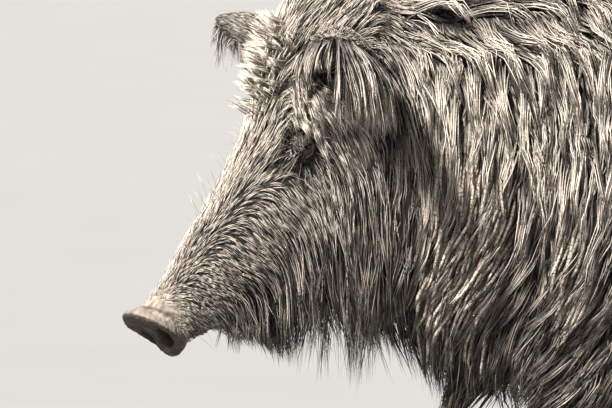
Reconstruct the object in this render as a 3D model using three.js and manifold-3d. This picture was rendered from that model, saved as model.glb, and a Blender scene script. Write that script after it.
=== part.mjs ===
// A wild boar in its long winter coat, life size, standing with its head lowered and turned
// a little to its left.
//
// Millimetres, +Z up. The head points towards -X and the animal's left side faces -Y. The model is
// drawn with x = 0 over the forelegs and the floor at z = 0, and is centred on the floor at the end.
// Every outline is that of the coat, out to the tips of the hair.
import * as THREE from "three";
import { LoftGeometry } from "three/addons/geometries/LoftGeometry.js";
import { mergeVertices } from "three/addons/utils/BufferGeometryUtils.js";
import Module from "manifold-3d";

const wasm = await Module();
wasm.setup();

// ---------------------------------------------------------------- driving dimensions

const WITHERS = 840; // height of the crest over the shoulders
const RUMP_X = 780; // from the forelegs back to the rump
const HEAD = 400; // from the nose disc to the back of the skull
const GAP = 0.5; // between two pieces that touch

const HEAD_PITCH = THREE.MathUtils.degToRad(53); // how far the nose points down
const HEAD_TURN = THREE.MathUtils.degToRad(21); // how far the head is turned to the left
const TURN_FROM = -20; // the neck bends between these two places along the body
const TURN_TO = -250;
const NOSE = { x: -456, z: 428 }; // centre of the nose disc, before the head is turned

const THROAT_FROM = -374; // the beard starts here, under the chin
const NECK_FROM = -275;
const NECK_TO = -70; // the neck meets the trunk here

const LEFT = -1;
const RIGHT = 1;

// ---------------------------------------------------------------- tables of sections
// Each row is one section: where it stands, its highest and lowest line, the height of its widest
// line, half its width, and how square it is above and below (2 is an ellipse, less is a ridge).

const h = (share) => share * WITHERS;

// Throat, neck and trunk, cut by upright planes.
const BODY_SECTIONS = [
  { x: THROAT_FROM, top: h(0.54), bottom: h(0.496), middle: h(0.52), half: 12, crest: 2, keel: 1.6 },
  { x: -350, top: h(0.6), bottom: h(0.468), middle: h(0.525), half: 31, crest: 2, keel: 1.5 },
  { x: -310, top: h(0.83), bottom: h(0.466), middle: h(0.6), half: 56, crest: 2, keel: 1.6 },
  { x: NECK_FROM, top: h(0.935), bottom: h(0.466), middle: h(0.68), half: 88, crest: 1.8, keel: 1.7 },
  { x: -210, top: h(0.96), bottom: h(0.45), middle: h(0.68), half: 110, crest: 1.7, keel: 1.8 },
  { x: -140, top: h(0.975), bottom: h(0.442), middle: h(0.67), half: 128, crest: 1.65, keel: 1.9 },
  { x: NECK_TO, top: h(0.988), bottom: h(0.433), middle: h(0.655), half: 142, crest: 1.65, keel: 1.9 },
  { x: 0, top: h(0.998), bottom: h(0.424), middle: h(0.645), half: 154, crest: 1.65, keel: 2.0 },
  { x: 70, top: h(1), bottom: h(0.417), middle: h(0.635), half: 164, crest: 1.7, keel: 2.1 },
  { x: 200, top: h(0.982), bottom: h(0.412), middle: h(0.625), half: 172, crest: 1.8, keel: 2.1 },
  { x: 330, top: h(0.95), bottom: h(0.424), middle: h(0.625), half: 174, crest: 1.9, keel: 2.1 },
  { x: 460, top: h(0.92), bottom: h(0.456), middle: h(0.635), half: 169, crest: 2.0, keel: 2.0 },
  { x: 570, top: h(0.892), bottom: h(0.5), middle: h(0.65), half: 158, crest: 2.1, keel: 1.9 },
  { x: 660, top: h(0.855), bottom: h(0.54), middle: h(0.665), half: 138, crest: 2.1, keel: 1.9 },
  { x: 730, top: h(0.805), bottom: h(0.58), middle: h(0.675), half: 104, crest: 2.0, keel: 1.9 },
  { x: RUMP_X, top: h(0.73), bottom: h(0.63), middle: h(0.68), half: 48, crest: 2.0, keel: 2.0 },
];

const u = (share) => share * HEAD;

// Head, cut square to its own axis: u runs from the nose disc to the back of the skull, and heights
// are measured from that axis towards the forehead.
const HEAD_SECTIONS = [
  { u: u(0.045), top: 27, bottom: -33, middle: -3, half: 28, crest: 2.2, keel: 2.2 },
  { u: u(0.075), top: 26, bottom: -38, middle: -5, half: 29, crest: 2.2, keel: 2.2 },
  { u: u(0.14), top: 29, bottom: -66, middle: -14, half: 35, crest: 2.2, keel: 2.1 },
  { u: u(0.25), top: 34, bottom: -104, middle: -26, half: 46, crest: 2.2, keel: 1.9 },
  { u: u(0.38), top: 38, bottom: -125, middle: -34, half: 56, crest: 2.3, keel: 1.8 },
  { u: u(0.5), top: 45, bottom: -135, middle: -36, half: 65, crest: 2.3, keel: 1.8 },
  { u: u(0.6), top: 57, bottom: -140, middle: -38, half: 74, crest: 2.3, keel: 1.9 },
  { u: u(0.7), top: 78, bottom: -140, middle: -36, half: 83, crest: 2.2, keel: 2.0 },
  { u: u(0.8), top: 93, bottom: -132, middle: -30, half: 90, crest: 2.1, keel: 2.0 },
  { u: u(0.9), top: 101, bottom: -108, middle: -20, half: 88, crest: 2.0, keel: 2.0 },
  { u: u(1), top: 94, bottom: -74, middle: -5, half: 70, crest: 2.0, keel: 2.0 },
  { u: u(1.06), top: 66, bottom: -40, middle: 5, half: 40, crest: 2.0, keel: 2.0 },
];

// The nose disc, cut across the head's axis: a flared rim whose upper edge leans forward and whose
// left edge is turned back. Lean and turn are the slopes of the section upwards and to the right.
const DISC_SECTIONS = [
  { u: u(0.045) - GAP, top: 28, bottom: -33, half: 28, lean: 0, turn: 0 },
  { u: 11, top: 33, bottom: -33, half: 31, lean: 0.02, turn: 0.08 },
  { u: 5, top: 39, bottom: -34, half: 34, lean: 0.05, turn: 0.2 },
  { u: 1.5, top: 39, bottom: -33, half: 33, lean: 0.05, turn: 0.24 },
  { u: 0.5, top: 35, bottom: -29, half: 29, lean: 0.05, turn: 0.24 },
];
// Hollows in the disc's face.
const DISC_DISH = { at: [-4.5, 0, 1], radii: [8, 29, 30] };
const NOSTRIL = { at: [1, 15, -5], radii: [13, 8, 12] };

// The line between the jaws, as places along the head and heights.
const MOUTH = { from: [u(0.08), -38], to: [u(0.34), -90] };

// Legs, cut by level planes: the place of each section's centre fore and aft and to the side, and
// its half length and half width.
const HOOF_TOP = 40;
const FORELEG_SECTIONS = [
  { z: HOOF_TOP + GAP, along: -13, aside: 86, length: 27, width: 29 },
  { z: 58, along: -4, aside: 86, length: 27, width: 28 },
  { z: 80, along: 3, aside: 86, length: 30, width: 28 },
  { z: 118, along: 3, aside: 86, length: 25, width: 23 },
  { z: 170, along: 0, aside: 87, length: 28, width: 26 },
  { z: 212, along: -3, aside: 88, length: 35, width: 32 },
  { z: 255, along: 0, aside: 90, length: 38, width: 33 },
  { z: 320, along: 8, aside: 94, length: 52, width: 42 },
  { z: 385, along: 18, aside: 98, length: 68, width: 50 },
  { z: 440, along: 26, aside: 98, length: 78, width: 52 },
];
const HINDLEG_SECTIONS = [
  { z: HOOF_TOP + GAP, along: -13, aside: 84, length: 27, width: 29 },
  { z: 58, along: -4, aside: 84, length: 27, width: 28 },
  { z: 82, along: 3, aside: 84, length: 30, width: 28 },
  { z: 125, along: 8, aside: 85, length: 25, width: 24 },
  { z: 180, along: 19, aside: 86, length: 28, width: 26 },
  { z: 232, along: 28, aside: 88, length: 37, width: 29 },
  { z: 272, along: 20, aside: 90, length: 40, width: 32 },
  { z: 330, along: -4, aside: 93, length: 56, width: 42 },
  { z: 400, along: -26, aside: 96, length: 84, width: 54 },
  { z: 460, along: -30, aside: 96, length: 104, width: 60 },
];
const HINDLEG_X = 628; // the hind feet stand this far behind the forefeet

// How far each foot stands ahead (-) or behind (+) of its own pair's middle.
const STANCE = { fore: { [LEFT]: -8, [RIGHT]: 46 }, hind: { [LEFT]: 14, [RIGHT]: -58 } };

// One half of a hoof, measured from the middle of its sole. Its sections get narrower by `inset`.
const HOOF = {
  toe: 38,
  heel: 28,
  toeSlope: 22, // how much less the toe reaches at the top
  inner: 9,
  outer: 19,
  apart: 10.5, // from the foot's middle
  splay: 0.08, // radians that the foot points outward
  sections: [
    { z: 0, inset: 0 },
    { z: 4, inset: -0.5 },
    { z: HOOF_TOP * 0.6, inset: 1 },
    { z: HOOF_TOP, inset: 2.5 },
  ],
};
// The dewclaws, placed in the foot's frame for the right-hand one of each pair. The profile gives
// shares of the radius and of the length.
const DEWCLAW = {
  at: [42, 23, 34],
  up: [-0.4, -0.15, 1],
  length: 34,
  radius: 11,
  profile: [
    [0, 0],
    [0.5, 0.02],
    [0.8, 0.2],
    [1, 0.55],
    [0.85, 1],
    [0, 1],
  ],
};

// Bulges under the coat: place of the centre, and radii.
const SHOULDER = { at: [35, 62, 530], radii: [150, 106, 190] };
const HAUNCH = { at: [600, 62, 545], radii: [150, 102, 180] };
const CHEEK = { at: [u(0.73), 38, -44], radii: [92, 54, 66] };
const BROW = { at: [u(0.66), 43, 25], radii: [44, 27, 24] };

const EYEBALL = { at: [u(0.6), 58, -1], radii: [13, 13, 13] };
const EYE_HOLLOW = { at: [u(0.6), 70, -1], radii: [19, 17, 12] }; // shows the eye through the hair

// The ear is a cupped leaf. Its sections stand at shares `s` of its length from base to tip.
const EAR = {
  base: [u(0.8), 62, 14],
  length: 136,
  tip: [-0.38, 0.84, 0.38], // direction of the tip, with the side outward
  back: [0.15, 0, 1], // direction of the cup's back
  sections: [
    { s: 0, half: 30, arch: 24, thick: 15 },
    { s: 0.25, half: 42, arch: 32, thick: 14 },
    { s: 0.5, half: 43, arch: 30, thick: 13 },
    { s: 0.75, half: 32, arch: 20, thick: 11 },
    { s: 0.92, half: 17, arch: 9, thick: 8 },
    { s: 1, half: 6, arch: 3, thick: 5 },
  ],
};

const TAIL = {
  points: [
    [715, 0, h(0.755)],
    [778, 4, h(0.735)],
    [804, 8, h(0.66)],
    [806, 10, h(0.56)],
    [800, 12, h(0.47)],
    [797, 12, h(0.4)],
  ],
  radii: [20, 18, 14, 13, 19, 4],
};

// ---------------------------------------------------------------- shapes

// Reads a table of sections at any place, on a smooth curve through its rows.
function table(rows) {
  const names = Object.keys(rows[0]);
  const places = rows.map((row) => row[names[0]]);
  const values = rows.flatMap((row) => names.map((name) => row[name]));
  const curve = new THREE.CubicInterpolant(places, values, names.length, new Array(names.length));
  return (place) => {
    const found = [...curve.evaluate(place)];
    return Object.fromEntries(names.map((name, i) => [name, found[i]]));
  };
}

const spaced = (from, to, count) =>
  Array.from({ length: count }, (_, i) => THREE.MathUtils.lerp(from, to, i / (count - 1)));

// A quarter of a superellipse for each sign of the sine and cosine.
const bent = (value, squareness) => Math.sign(value) * Math.abs(value) ** (2 / squareness);

// Points round one section, as [sideways, height], counterclockwise from the right.
function outline(row, sides, grow = 0) {
  const { top, bottom, half, middle = (top + bottom) / 2, crest = 2, keel = 2 } = row;
  return Array.from({ length: sides }, (_, i) => {
    const angle = (i / sides) * 2 * Math.PI;
    const above = Math.sin(angle) > 0;
    const reach = above ? top - middle : middle - bottom;
    const square = above ? crest : keel;
    return [
      (half + grow) * bent(Math.cos(angle), square),
      middle + (reach + grow) * bent(Math.sin(angle), square),
    ];
  });
}

// Turns the head and neck to the left: the body's axis follows an arc between TURN_FROM and
// TURN_TO, and runs straight on from there.
function turned([x, y, z]) {
  const span = TURN_FROM - TURN_TO;
  const along = TURN_FROM - x;
  if (along <= 0) return new THREE.Vector3(x, y, z);
  const angle = HEAD_TURN * Math.min(along / span, 1);
  const radius = span / HEAD_TURN;
  const beyond = Math.max(along - span, 0);
  return new THREE.Vector3(
    TURN_FROM - radius * Math.sin(angle) - beyond * Math.cos(angle) - y * Math.sin(angle),
    -radius * (1 - Math.cos(angle)) - beyond * Math.sin(angle) + y * Math.cos(angle),
    z,
  );
}

// From the head's own frame (along its axis, sideways, towards the forehead) to the body's, before
// the head is turned.
function lowered([along, side, up]) {
  return [
    NOSE.x + along * Math.cos(HEAD_PITCH) - up * Math.sin(HEAD_PITCH),
    side,
    NOSE.z + along * Math.sin(HEAD_PITCH) + up * Math.cos(HEAD_PITCH),
  ];
}

const fromHead = (point) => turned(lowered(point));

// A capped loft through rings of points, which may run either way round.
function closed(sections) {
  const [first, second] = sections;
  const ring = new THREE.Vector3();
  const edge = new THREE.Vector3();
  for (let i = 2; i < first.length; i++) {
    edge.subVectors(first[i - 1], first[0]);
    ring.add(edge.cross(new THREE.Vector3().subVectors(first[i], first[0])));
  }
  const onward = new THREE.Vector3();
  second.forEach((point, i) => onward.add(point).sub(first[i]));
  const rightWay = ring.dot(onward) > 0 ? sections : sections.map((points) => points.toReversed());
  return new LoftGeometry(rightWay, { capStart: true, capEnd: true });
}

function toSolid(geometry) {
  const bare = new THREE.BufferGeometry();
  bare.setAttribute("position", geometry.attributes.position);
  bare.setIndex(geometry.index);
  const merged = mergeVertices(bare, 1e-3);
  return new wasm.Manifold(
    new wasm.Mesh({
      numProp: 3,
      vertProperties: merged.attributes.position.array,
      triVerts: new Uint32Array(merged.index.array),
    }),
  );
}

function toGeometry(solid) {
  const { numProp, numVert, vertProperties, triVerts } = solid.getMesh();
  const positions = new Float32Array(numVert * 3);
  for (let i = 0; i < numVert; i++) {
    positions.set(vertProperties.subarray(i * numProp, i * numProp + 3), i * 3);
  }
  const geometry = new THREE.BufferGeometry();
  geometry.setAttribute("position", new THREE.BufferAttribute(positions, 3));
  geometry.setIndex(new THREE.BufferAttribute(triVerts, 1));
  geometry.computeVertexNormals();
  return geometry;
}

// ---------------------------------------------------------------- neck and trunk

// A length of the throat, neck and trunk, `grow` wider all round.
function bodyLength(from, to, rings, grow = 0) {
  const at = table(BODY_SECTIONS);
  const sections = spaced(from, to, rings).map((x) =>
    outline(at(x), 24, grow).map(([y, z]) => turned([x, y, z])),
  );
  return toSolid(closed(sections));
}

// An ellipsoid with its centre and radii given in a frame that `place` maps to the body's.
function bulge({ at, radii }, side, place, grow = 0, segments = 14) {
  const ball = new THREE.SphereGeometry(1, segments, Math.round(segments * 0.7));
  const position = ball.attributes.position;
  const [x, y, z] = at;
  for (let i = 0; i < position.count; i++) {
    const point = place([
      x + position.getX(i) * (radii[0] + grow),
      side * y + position.getY(i) * (radii[1] + grow),
      z + position.getZ(i) * (radii[2] + grow),
    ]);
    position.setXYZ(i, point.x, point.y, point.z);
  }
  return toSolid(ball);
}

// The trunk, cut off square at the neck.
function trunk(grow = 0) {
  let solid = bodyLength(NECK_TO, RUMP_X + grow, 17, grow);
  for (const side of [LEFT, RIGHT]) {
    solid = solid.add(bulge(SHOULDER, side, turned, grow));
    solid = solid.add(bulge(HAUNCH, side, turned, grow));
  }
  return solid.subtract(frontOf(NECK_TO + GAP));
}

// Everything in front of an upright plane across the neck.
function frontOf(x) {
  const depth = 400;
  const half = 300;
  const level = (z) => [
    turned([x, -half, z]),
    turned([x, half, z]),
    turned([x - depth, half, z]),
    turned([x - depth, -half, z]),
  ];
  return toSolid(closed([level(-half), level(2 * WITHERS)]));
}

// ---------------------------------------------------------------- head

// The head without its hollows, `grow` larger all round.
function skull(grow = 0) {
  const at = table(HEAD_SECTIONS);
  const ends = [HEAD_SECTIONS[0].u - grow, HEAD_SECTIONS.at(-1).u + grow];
  const sections = spaced(...ends, 17).map((along) =>
    outline(at(along), 20, grow).map(([side, up]) => fromHead([along, side, up])),
  );
  let solid = toSolid(closed(sections));
  for (const side of [LEFT, RIGHT]) {
    solid = solid.add(bulge(CHEEK, side, fromHead, grow, 12));
    solid = solid.add(bulge(BROW, side, fromHead, grow, 10));
  }
  return solid;
}

// Everything on the chin's side of the line between the jaws, lowered by `drop`.
function belowMouth(drop) {
  const [from, to] = [MOUTH.from, MOUTH.to].map(([along, up]) => new THREE.Vector2(along, up - drop));
  const run = to.clone().sub(from).normalize();
  const start = from.clone().addScaledVector(run, -100);
  const end = to.clone().addScaledVector(run, 150);
  const depth = 300;
  const across = 200;
  const edge = ({ x, y }) => [
    fromHead([x, -across, y]),
    fromHead([x, across, y]),
    fromHead([x, across, y - depth]),
    fromHead([x, -across, y - depth]),
  ];
  return toSolid(closed([edge(start), edge(end)]));
}

function noseDisc() {
  const slanted = ({ lean, turn }, [along, side, up]) =>
    fromHead([along - lean * up - turn * side, side, up]);
  const sections = DISC_SECTIONS.map((row) =>
    outline(row, 20).map(([side, up]) => slanted(row, [row.u, side, up])),
  );
  const onFace = (point) => slanted(DISC_SECTIONS.at(-1), point);
  let solid = toSolid(closed(sections)).subtract(bulge(DISC_DISH, LEFT, onFace, 0, 12));
  for (const side of [LEFT, RIGHT]) {
    solid = solid.subtract(bulge(NOSTRIL, side, onFace, 0, 10));
  }
  return solid;
}

// ---------------------------------------------------------------- ears

// A cupped leaf that stands out from the head, its open side facing forward and down.
function ear(side) {
  const at = table(EAR.sections);
  const [forward, out, up] = EAR.tip;
  const tip = new THREE.Vector3(forward, side * out, up).normalize();
  const back = new THREE.Vector3(...EAR.back);
  const across = new THREE.Vector3().crossVectors(tip, back).normalize();
  back.crossVectors(across, tip).normalize();
  const arc = spaced(-1, 1, 9);
  const [along, aside, above] = EAR.base;
  const base = new THREE.Vector3(...lowered([along, side * aside, above]));
  const sections = spaced(0, 1, 9).map((s) => {
    const { half, arch, thick } = at(s);
    const point = (t, inner) =>
      turned(
        base
          .clone()
          .addScaledVector(tip, s * EAR.length)
          .addScaledVector(across, t * (half - (inner * thick) / 3))
          .addScaledVector(back, arch * (1 - t * t) - inner * thick),
      );
    const outer = arc.map((t) => point(t, 0));
    const inner = arc.slice(1, -1).reverse().map((t) => point(t, 1));
    return [...outer, ...inner];
  });
  return toSolid(closed(sections));
}

// ---------------------------------------------------------------- legs

// A leg in the body's frame. It leans so that its foot stands `stance` from its top.
function leg(rows, x, side, stance, sides = 12, rings = 12) {
  const at = table(rows);
  const [foot, top] = [rows[0].z, rows.at(-1).z];
  const sections = spaced(foot, top, rings).map((z) => {
    const row = at(z);
    const lean = (stance * (top - z)) / (top - foot);
    return Array.from({ length: sides }, (_, i) => {
      const angle = (i / sides) * 2 * Math.PI;
      return new THREE.Vector3(
        x + row.along + lean + row.length * Math.cos(angle),
        side * row.aside + row.width * Math.sin(angle),
        z,
      );
    });
  });
  return toSolid(closed(sections));
}

// One half of a cloven hoof, in its own frame: sole at z = 0, toe towards -X, its flat inner wall
// towards +Y.
function hoofShape() {
  const sides = 12;
  const sections = HOOF.sections.map(({ z, inset }) => {
    const slope = (HOOF.toeSlope * z) / HOOF_TOP;
    return Array.from({ length: sides }, (_, i) => {
      const angle = (i / sides) * 2 * Math.PI;
      const [c, s] = [Math.cos(angle), Math.sin(angle)];
      const reach = c < 0 ? HOOF.toe - slope : HOOF.heel;
      const half = s > 0 ? HOOF.inner : HOOF.outer;
      return new THREE.Vector3((reach - inset) * bent(c, 2.1), (half - inset) * bent(s, 2.6), z);
    });
  });
  return closed(sections);
}

// A dewclaw in its own frame: a blunt cone standing on its tip.
function dewclawShape(grow = 0) {
  const { length, radius, profile } = DEWCLAW;
  const points = profile.map(
    ([share, height]) => new THREE.Vector2(share * (radius + grow), height * (length + grow)),
  );
  return new THREE.LatheGeometry(points, 8);
}

// ---------------------------------------------------------------- tail

function tail() {
  const path = new THREE.CatmullRomCurve3(TAIL.points.map((p) => new THREE.Vector3(...p)));
  const rings = 10;
  const radius = (t) => {
    const step = t * (TAIL.radii.length - 1);
    const low = Math.min(Math.floor(step), TAIL.radii.length - 2);
    return THREE.MathUtils.lerp(TAIL.radii[low], TAIL.radii[low + 1], step - low);
  };
  const frames = path.computeFrenetFrames(rings - 1);
  const sections = spaced(0, 1, rings).map((t, ring) => {
    const centre = path.getPointAt(t);
    return Array.from({ length: 8 }, (_, i) => {
      const angle = (i / 8) * 2 * Math.PI;
      return centre
        .clone()
        .addScaledVector(frames.normals[ring], radius(t) * Math.cos(angle))
        .addScaledVector(frames.binormals[ring], radius(t) * Math.sin(angle));
    });
  });
  return toSolid(closed(sections));
}

// ---------------------------------------------------------------- assembly

const MATERIALS = {
  coat: new THREE.MeshStandardMaterial({ color: 0x857768, roughness: 0.95, metalness: 0 }),
  disc: new THREE.MeshStandardMaterial({ color: 0x4a3e37, roughness: 0.6, metalness: 0 }),
  hoof: new THREE.MeshStandardMaterial({ color: 0x2e2925, roughness: 0.55, metalness: 0 }),
  eye: new THREE.MeshStandardMaterial({ color: 0x120d0a, roughness: 0.1, metalness: 0 }),
};

const boar = new THREE.Group();
boar.name = "wild_boar";

function add(name, shape, material, parent = boar) {
  const geometry = shape.isBufferGeometry ? shape : toGeometry(shape);
  const mesh = new THREE.Mesh(geometry, material);
  mesh.name = name;
  parent.add(mesh);
  return mesh;
}

const sideName = (side) => (side === LEFT ? "left" : "right");

const trunkGrown = trunk(GAP);
const skullGrown = skull(GAP);

// The head with its eyes and ears, parted into skull and lower jaw along the mouth.
function addHead() {
  let head = skull();
  for (const side of [LEFT, RIGHT]) {
    head = head.subtract(bulge(EYE_HOLLOW, side, fromHead, 0, 10));
    head = head.subtract(bulge(EYEBALL, side, fromHead, GAP, 12));
    add(`eye_${sideName(side)}`, bulge(EYEBALL, side, fromHead, 0, 12), MATERIALS.eye);
    add(`ear_${sideName(side)}`, ear(side).subtract(skullGrown), MATERIALS.coat);
  }
  add("lower_jaw", head.intersect(belowMouth(GAP)), MATERIALS.coat);
  add("head", head.subtract(belowMouth(0)), MATERIALS.coat);
  add("nose_disc", noseDisc(), MATERIALS.disc);
}

// One dewclaw on its foot. Returns the room that it takes from the leg.
function addDewclaw(name, half, foot) {
  const claw = add(name, dewclawShape(), MATERIALS.hoof, foot);
  const [behind, aside, height] = DEWCLAW.at;
  const [back, inward, up] = DEWCLAW.up;
  const lathed = new THREE.Vector3(0, 1, 0);
  const way = new THREE.Vector3(back, half * inward, up).normalize();
  claw.position.set(behind, half * aside, height);
  claw.quaternion.setFromUnitVectors(lathed, way);
  claw.updateMatrix();
  const place = new THREE.Matrix4().multiplyMatrices(foot.matrix, claw.matrix);
  return toSolid(dewclawShape(GAP).applyMatrix4(place));
}

// A leg with its cloven hoof and two dewclaws.
function addLeg(pair, side) {
  const rows = pair === "fore" ? FORELEG_SECTIONS : HINDLEG_SECTIONS;
  const x = pair === "fore" ? 0 : HINDLEG_X;
  const stance = STANCE[pair][side];
  const foot = new THREE.Group();
  foot.position.set(x + stance + rows[0].along, side * rows[0].aside, 0);
  foot.rotation.z = side * HOOF.splay;
  foot.updateMatrix();
  boar.add(foot);
  let flesh = leg(rows, x, side, stance).subtract(trunkGrown);
  for (const half of [LEFT, RIGHT]) {
    const name = `${pair}_${sideName(side)}_${half === side ? "outer" : "inner"}`;
    const hoof = add(`hoof_${name}`, hoofShape(), MATERIALS.hoof, foot);
    hoof.position.y = half * HOOF.apart;
    hoof.scale.y = -half;
    flesh = flesh.subtract(addDewclaw(`dewclaw_${name}`, half, foot));
  }
  add(`${pair}leg_${sideName(side)}`, flesh, MATERIALS.coat);
}

add("trunk", trunk(), MATERIALS.coat);
add("neck", bodyLength(NECK_FROM, NECK_TO - GAP, 7).subtract(skullGrown), MATERIALS.coat);
add("beard", bodyLength(THROAT_FROM, NECK_FROM - GAP, 6).subtract(skullGrown), MATERIALS.coat);
add("tail", tail().subtract(trunkGrown), MATERIALS.coat);
addHead();
for (const pair of ["fore", "hind"]) {
  for (const side of [LEFT, RIGHT]) {
    addLeg(pair, side);
  }
}

// Centres the model over the origin, with its soles on the floor.
const box = new THREE.Box3().setFromObject(boar, true);
boar.position.set(-(box.min.x + box.max.x) / 2, -(box.min.y + box.max.y) / 2, 0);

export default boar;
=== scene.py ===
"""A still, life-size wild boar in its muddy winter coat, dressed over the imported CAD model.

One skin replaces the solids of flesh and the ears. It is made from the solids of flesh and a cupped
leaf for each ear: joined, smoothed, drawn in by the depth of the coat and then shaped by code at the
snout, mouth and eyes. The coat is solid mesh: tapered strands, gathered into locks, that grow from
the skin along the lie of the hair.

Metres throughout. "Straight" coordinates are those of the animal before its neck is bent to the
left, with x = 0 over the forelegs. "Head" coordinates run from the nose disc to the back of the
skull (along), to the right (side) and towards the forehead (up).
"""

import math

import bmesh
import bpy
import numpy as np
from mathutils import Matrix, Vector
from mathutils.bvhtree import BVHTree
from mathutils.kdtree import KDTree


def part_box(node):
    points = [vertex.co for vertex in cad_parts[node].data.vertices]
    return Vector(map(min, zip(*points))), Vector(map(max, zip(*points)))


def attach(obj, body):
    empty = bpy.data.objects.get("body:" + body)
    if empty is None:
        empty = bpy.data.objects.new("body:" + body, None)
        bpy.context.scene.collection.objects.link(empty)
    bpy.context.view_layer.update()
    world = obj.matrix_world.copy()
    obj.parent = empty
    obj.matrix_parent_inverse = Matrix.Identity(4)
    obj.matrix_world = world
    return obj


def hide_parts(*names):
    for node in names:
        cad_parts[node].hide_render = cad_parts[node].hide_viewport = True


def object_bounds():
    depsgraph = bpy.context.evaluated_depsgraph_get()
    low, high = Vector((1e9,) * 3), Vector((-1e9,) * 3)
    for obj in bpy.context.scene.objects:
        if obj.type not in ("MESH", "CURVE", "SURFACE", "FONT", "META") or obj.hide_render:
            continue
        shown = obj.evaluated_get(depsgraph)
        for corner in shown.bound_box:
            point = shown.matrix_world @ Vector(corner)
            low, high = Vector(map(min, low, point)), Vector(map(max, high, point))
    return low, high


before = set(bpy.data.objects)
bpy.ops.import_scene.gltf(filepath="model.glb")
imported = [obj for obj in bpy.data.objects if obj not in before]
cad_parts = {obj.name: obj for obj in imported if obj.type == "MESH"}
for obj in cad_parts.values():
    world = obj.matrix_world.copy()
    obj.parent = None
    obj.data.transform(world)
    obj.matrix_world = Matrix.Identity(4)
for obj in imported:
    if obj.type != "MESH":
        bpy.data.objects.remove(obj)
cad_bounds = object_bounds()
rng = np.random.default_rng(7)

# ---------------------------------------------------------------- the animal's own frames

HEAD_PITCH = math.radians(53)
HEAD_TURN = math.radians(21)
TURN_FROM = -0.020
TURN_TO = -0.250
BEND_RADIUS = (TURN_FROM - TURN_TO) / HEAD_TURN
NOSE = (-0.456, 0.428)
EYE = (0.240, 0.058, -0.001)  # in head coordinates; side is the distance from the middle
EYE_RADIUS = 0.013
EYE_AXIS = (-0.30, 1.0, 0.22)  # in head coordinates, with the side outward


def bend(points):
    """Straight coordinates to the row's, for an (n, 3) array."""
    x, y, z = np.asarray(points, float).T
    angle = np.clip((TURN_FROM - x) / (TURN_FROM - TURN_TO), 0, 1) * HEAD_TURN
    beyond = np.maximum(TURN_TO - x, 0)
    reach = BEND_RADIUS + y
    bent_x = TURN_FROM - reach * np.sin(angle) - beyond * np.cos(angle)
    bent_y = reach * np.cos(angle) - BEND_RADIUS - beyond * np.sin(angle)
    straight = x >= TURN_FROM
    return np.column_stack([np.where(straight, x, bent_x), np.where(straight, y, bent_y), z]) + OFFSET


def from_head(along, side, up):
    """Head coordinates to straight ones."""
    along, side, up = np.broadcast_arrays(along, side, up)
    x = NOSE[0] + along * math.cos(HEAD_PITCH) - up * math.sin(HEAD_PITCH)
    z = NOSE[1] + along * math.sin(HEAD_PITCH) + up * math.cos(HEAD_PITCH)
    return np.column_stack([x.ravel(), side.ravel(), z.ravel()])


class Place:
    """Where points of the row lie on the animal, in straight and in head coordinates."""

    def __init__(self, points):
        x, y, self.z = (np.asarray(points, float) - OFFSET).T
        across = y + BEND_RADIUS
        angle = np.clip(np.arctan2(TURN_FROM - x, across), 0, HEAD_TURN)
        bent = x < TURN_FROM
        self.yaw = np.where(bent, angle, 0)
        sin, cos = np.sin(self.yaw), np.cos(self.yaw)
        reach = (TURN_FROM - x) * sin + across * cos
        beyond = (TURN_FROM - x) * cos - across * sin
        self.x = np.where(bent, TURN_FROM - BEND_RADIUS * angle - np.maximum(beyond, 0), x)
        self.y = np.where(bent, reach - BEND_RADIUS, y)
        dx, dz = self.x - NOSE[0], self.z - NOSE[1]
        self.along = dx * math.cos(HEAD_PITCH) + dz * math.sin(HEAD_PITCH)
        self.up = -dx * math.sin(HEAD_PITCH) + dz * math.cos(HEAD_PITCH)
        self.side = self.y

    def straight(self):
        """The points in straight coordinates."""
        return np.column_stack([self.x, self.y, self.z])

    def turn(self, vectors):
        """Vectors in straight coordinates, turned to the row's."""
        sin, cos = np.sin(self.yaw), np.cos(self.yaw)
        vx, vy, vz = np.asarray(vectors, float).T
        return np.column_stack([vx * cos - vy * sin, vx * sin + vy * cos, vz])


def box_middle(name):
    """The middle of a node's box."""
    low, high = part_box(name)
    return (np.array(low) + np.array(high)) / 2


OFFSET = np.zeros(3)
OFFSET = box_middle("eye_left") - bend(from_head(EYE[0], -EYE[1], EYE[2]))[0]


def ramp(value, low, high):
    """0 below low, 1 above high, smooth between."""
    t = np.clip((value - low) / (high - low), 0, 1)
    return t * t * (3 - 2 * t)


def fade(value, low, high):
    """1 below low, 0 above high, smooth between."""
    return 1 - ramp(value, low, high)


def bump(value, middle, width):
    """1 at middle, falling smoothly to 0 at a distance of width."""
    return fade(np.abs(value - middle), 0, width)


def unit(vectors):
    return vectors / np.maximum(np.linalg.norm(vectors, axis=1, keepdims=True), 1e-9)


def waves(points, size, seed, count=5):
    """Smooth noise of about -1 to 1, from a few sine waves of about the given size."""
    source = np.random.default_rng(seed)
    total = np.zeros(len(points))
    for _ in range(count):
        direction = source.normal(size=3)
        direction *= source.uniform(0.7, 1.5) / np.linalg.norm(direction)
        total += np.sin(points @ direction * (2 * math.pi / size) + source.uniform(0, 2 * math.pi))
    return total / math.sqrt(count * 2)


# ---------------------------------------------------------------- skin

FLESH = [
    "head", "lower_jaw", "nose_disc", "beard", "neck", "trunk", "tail",
    "foreleg_left", "foreleg_right", "hindleg_left", "hindleg_right",
]
REPLACED = FLESH + ["ear_left", "ear_right"]
SKIN_VOXEL = 0.004
OVERLAP = 0.0008
LEG_AXES = [(0.0, -0.09), (0.04, 0.09), (0.63, -0.088), (0.575, 0.088)]


def read(items, key, width, kind=np.float32):
    """One property of all items of a mesh, as an (n, width) array."""
    flat = np.empty(len(items) * width, kind)
    items.foreach_get(key, flat)
    return flat.reshape(-1, width)


def mesh_points(mesh):
    return read(mesh.vertices, "co", 3).astype(float)


def mesh_normals(mesh):
    return read(mesh.vertex_normals, "vector", 3).astype(float)


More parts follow.
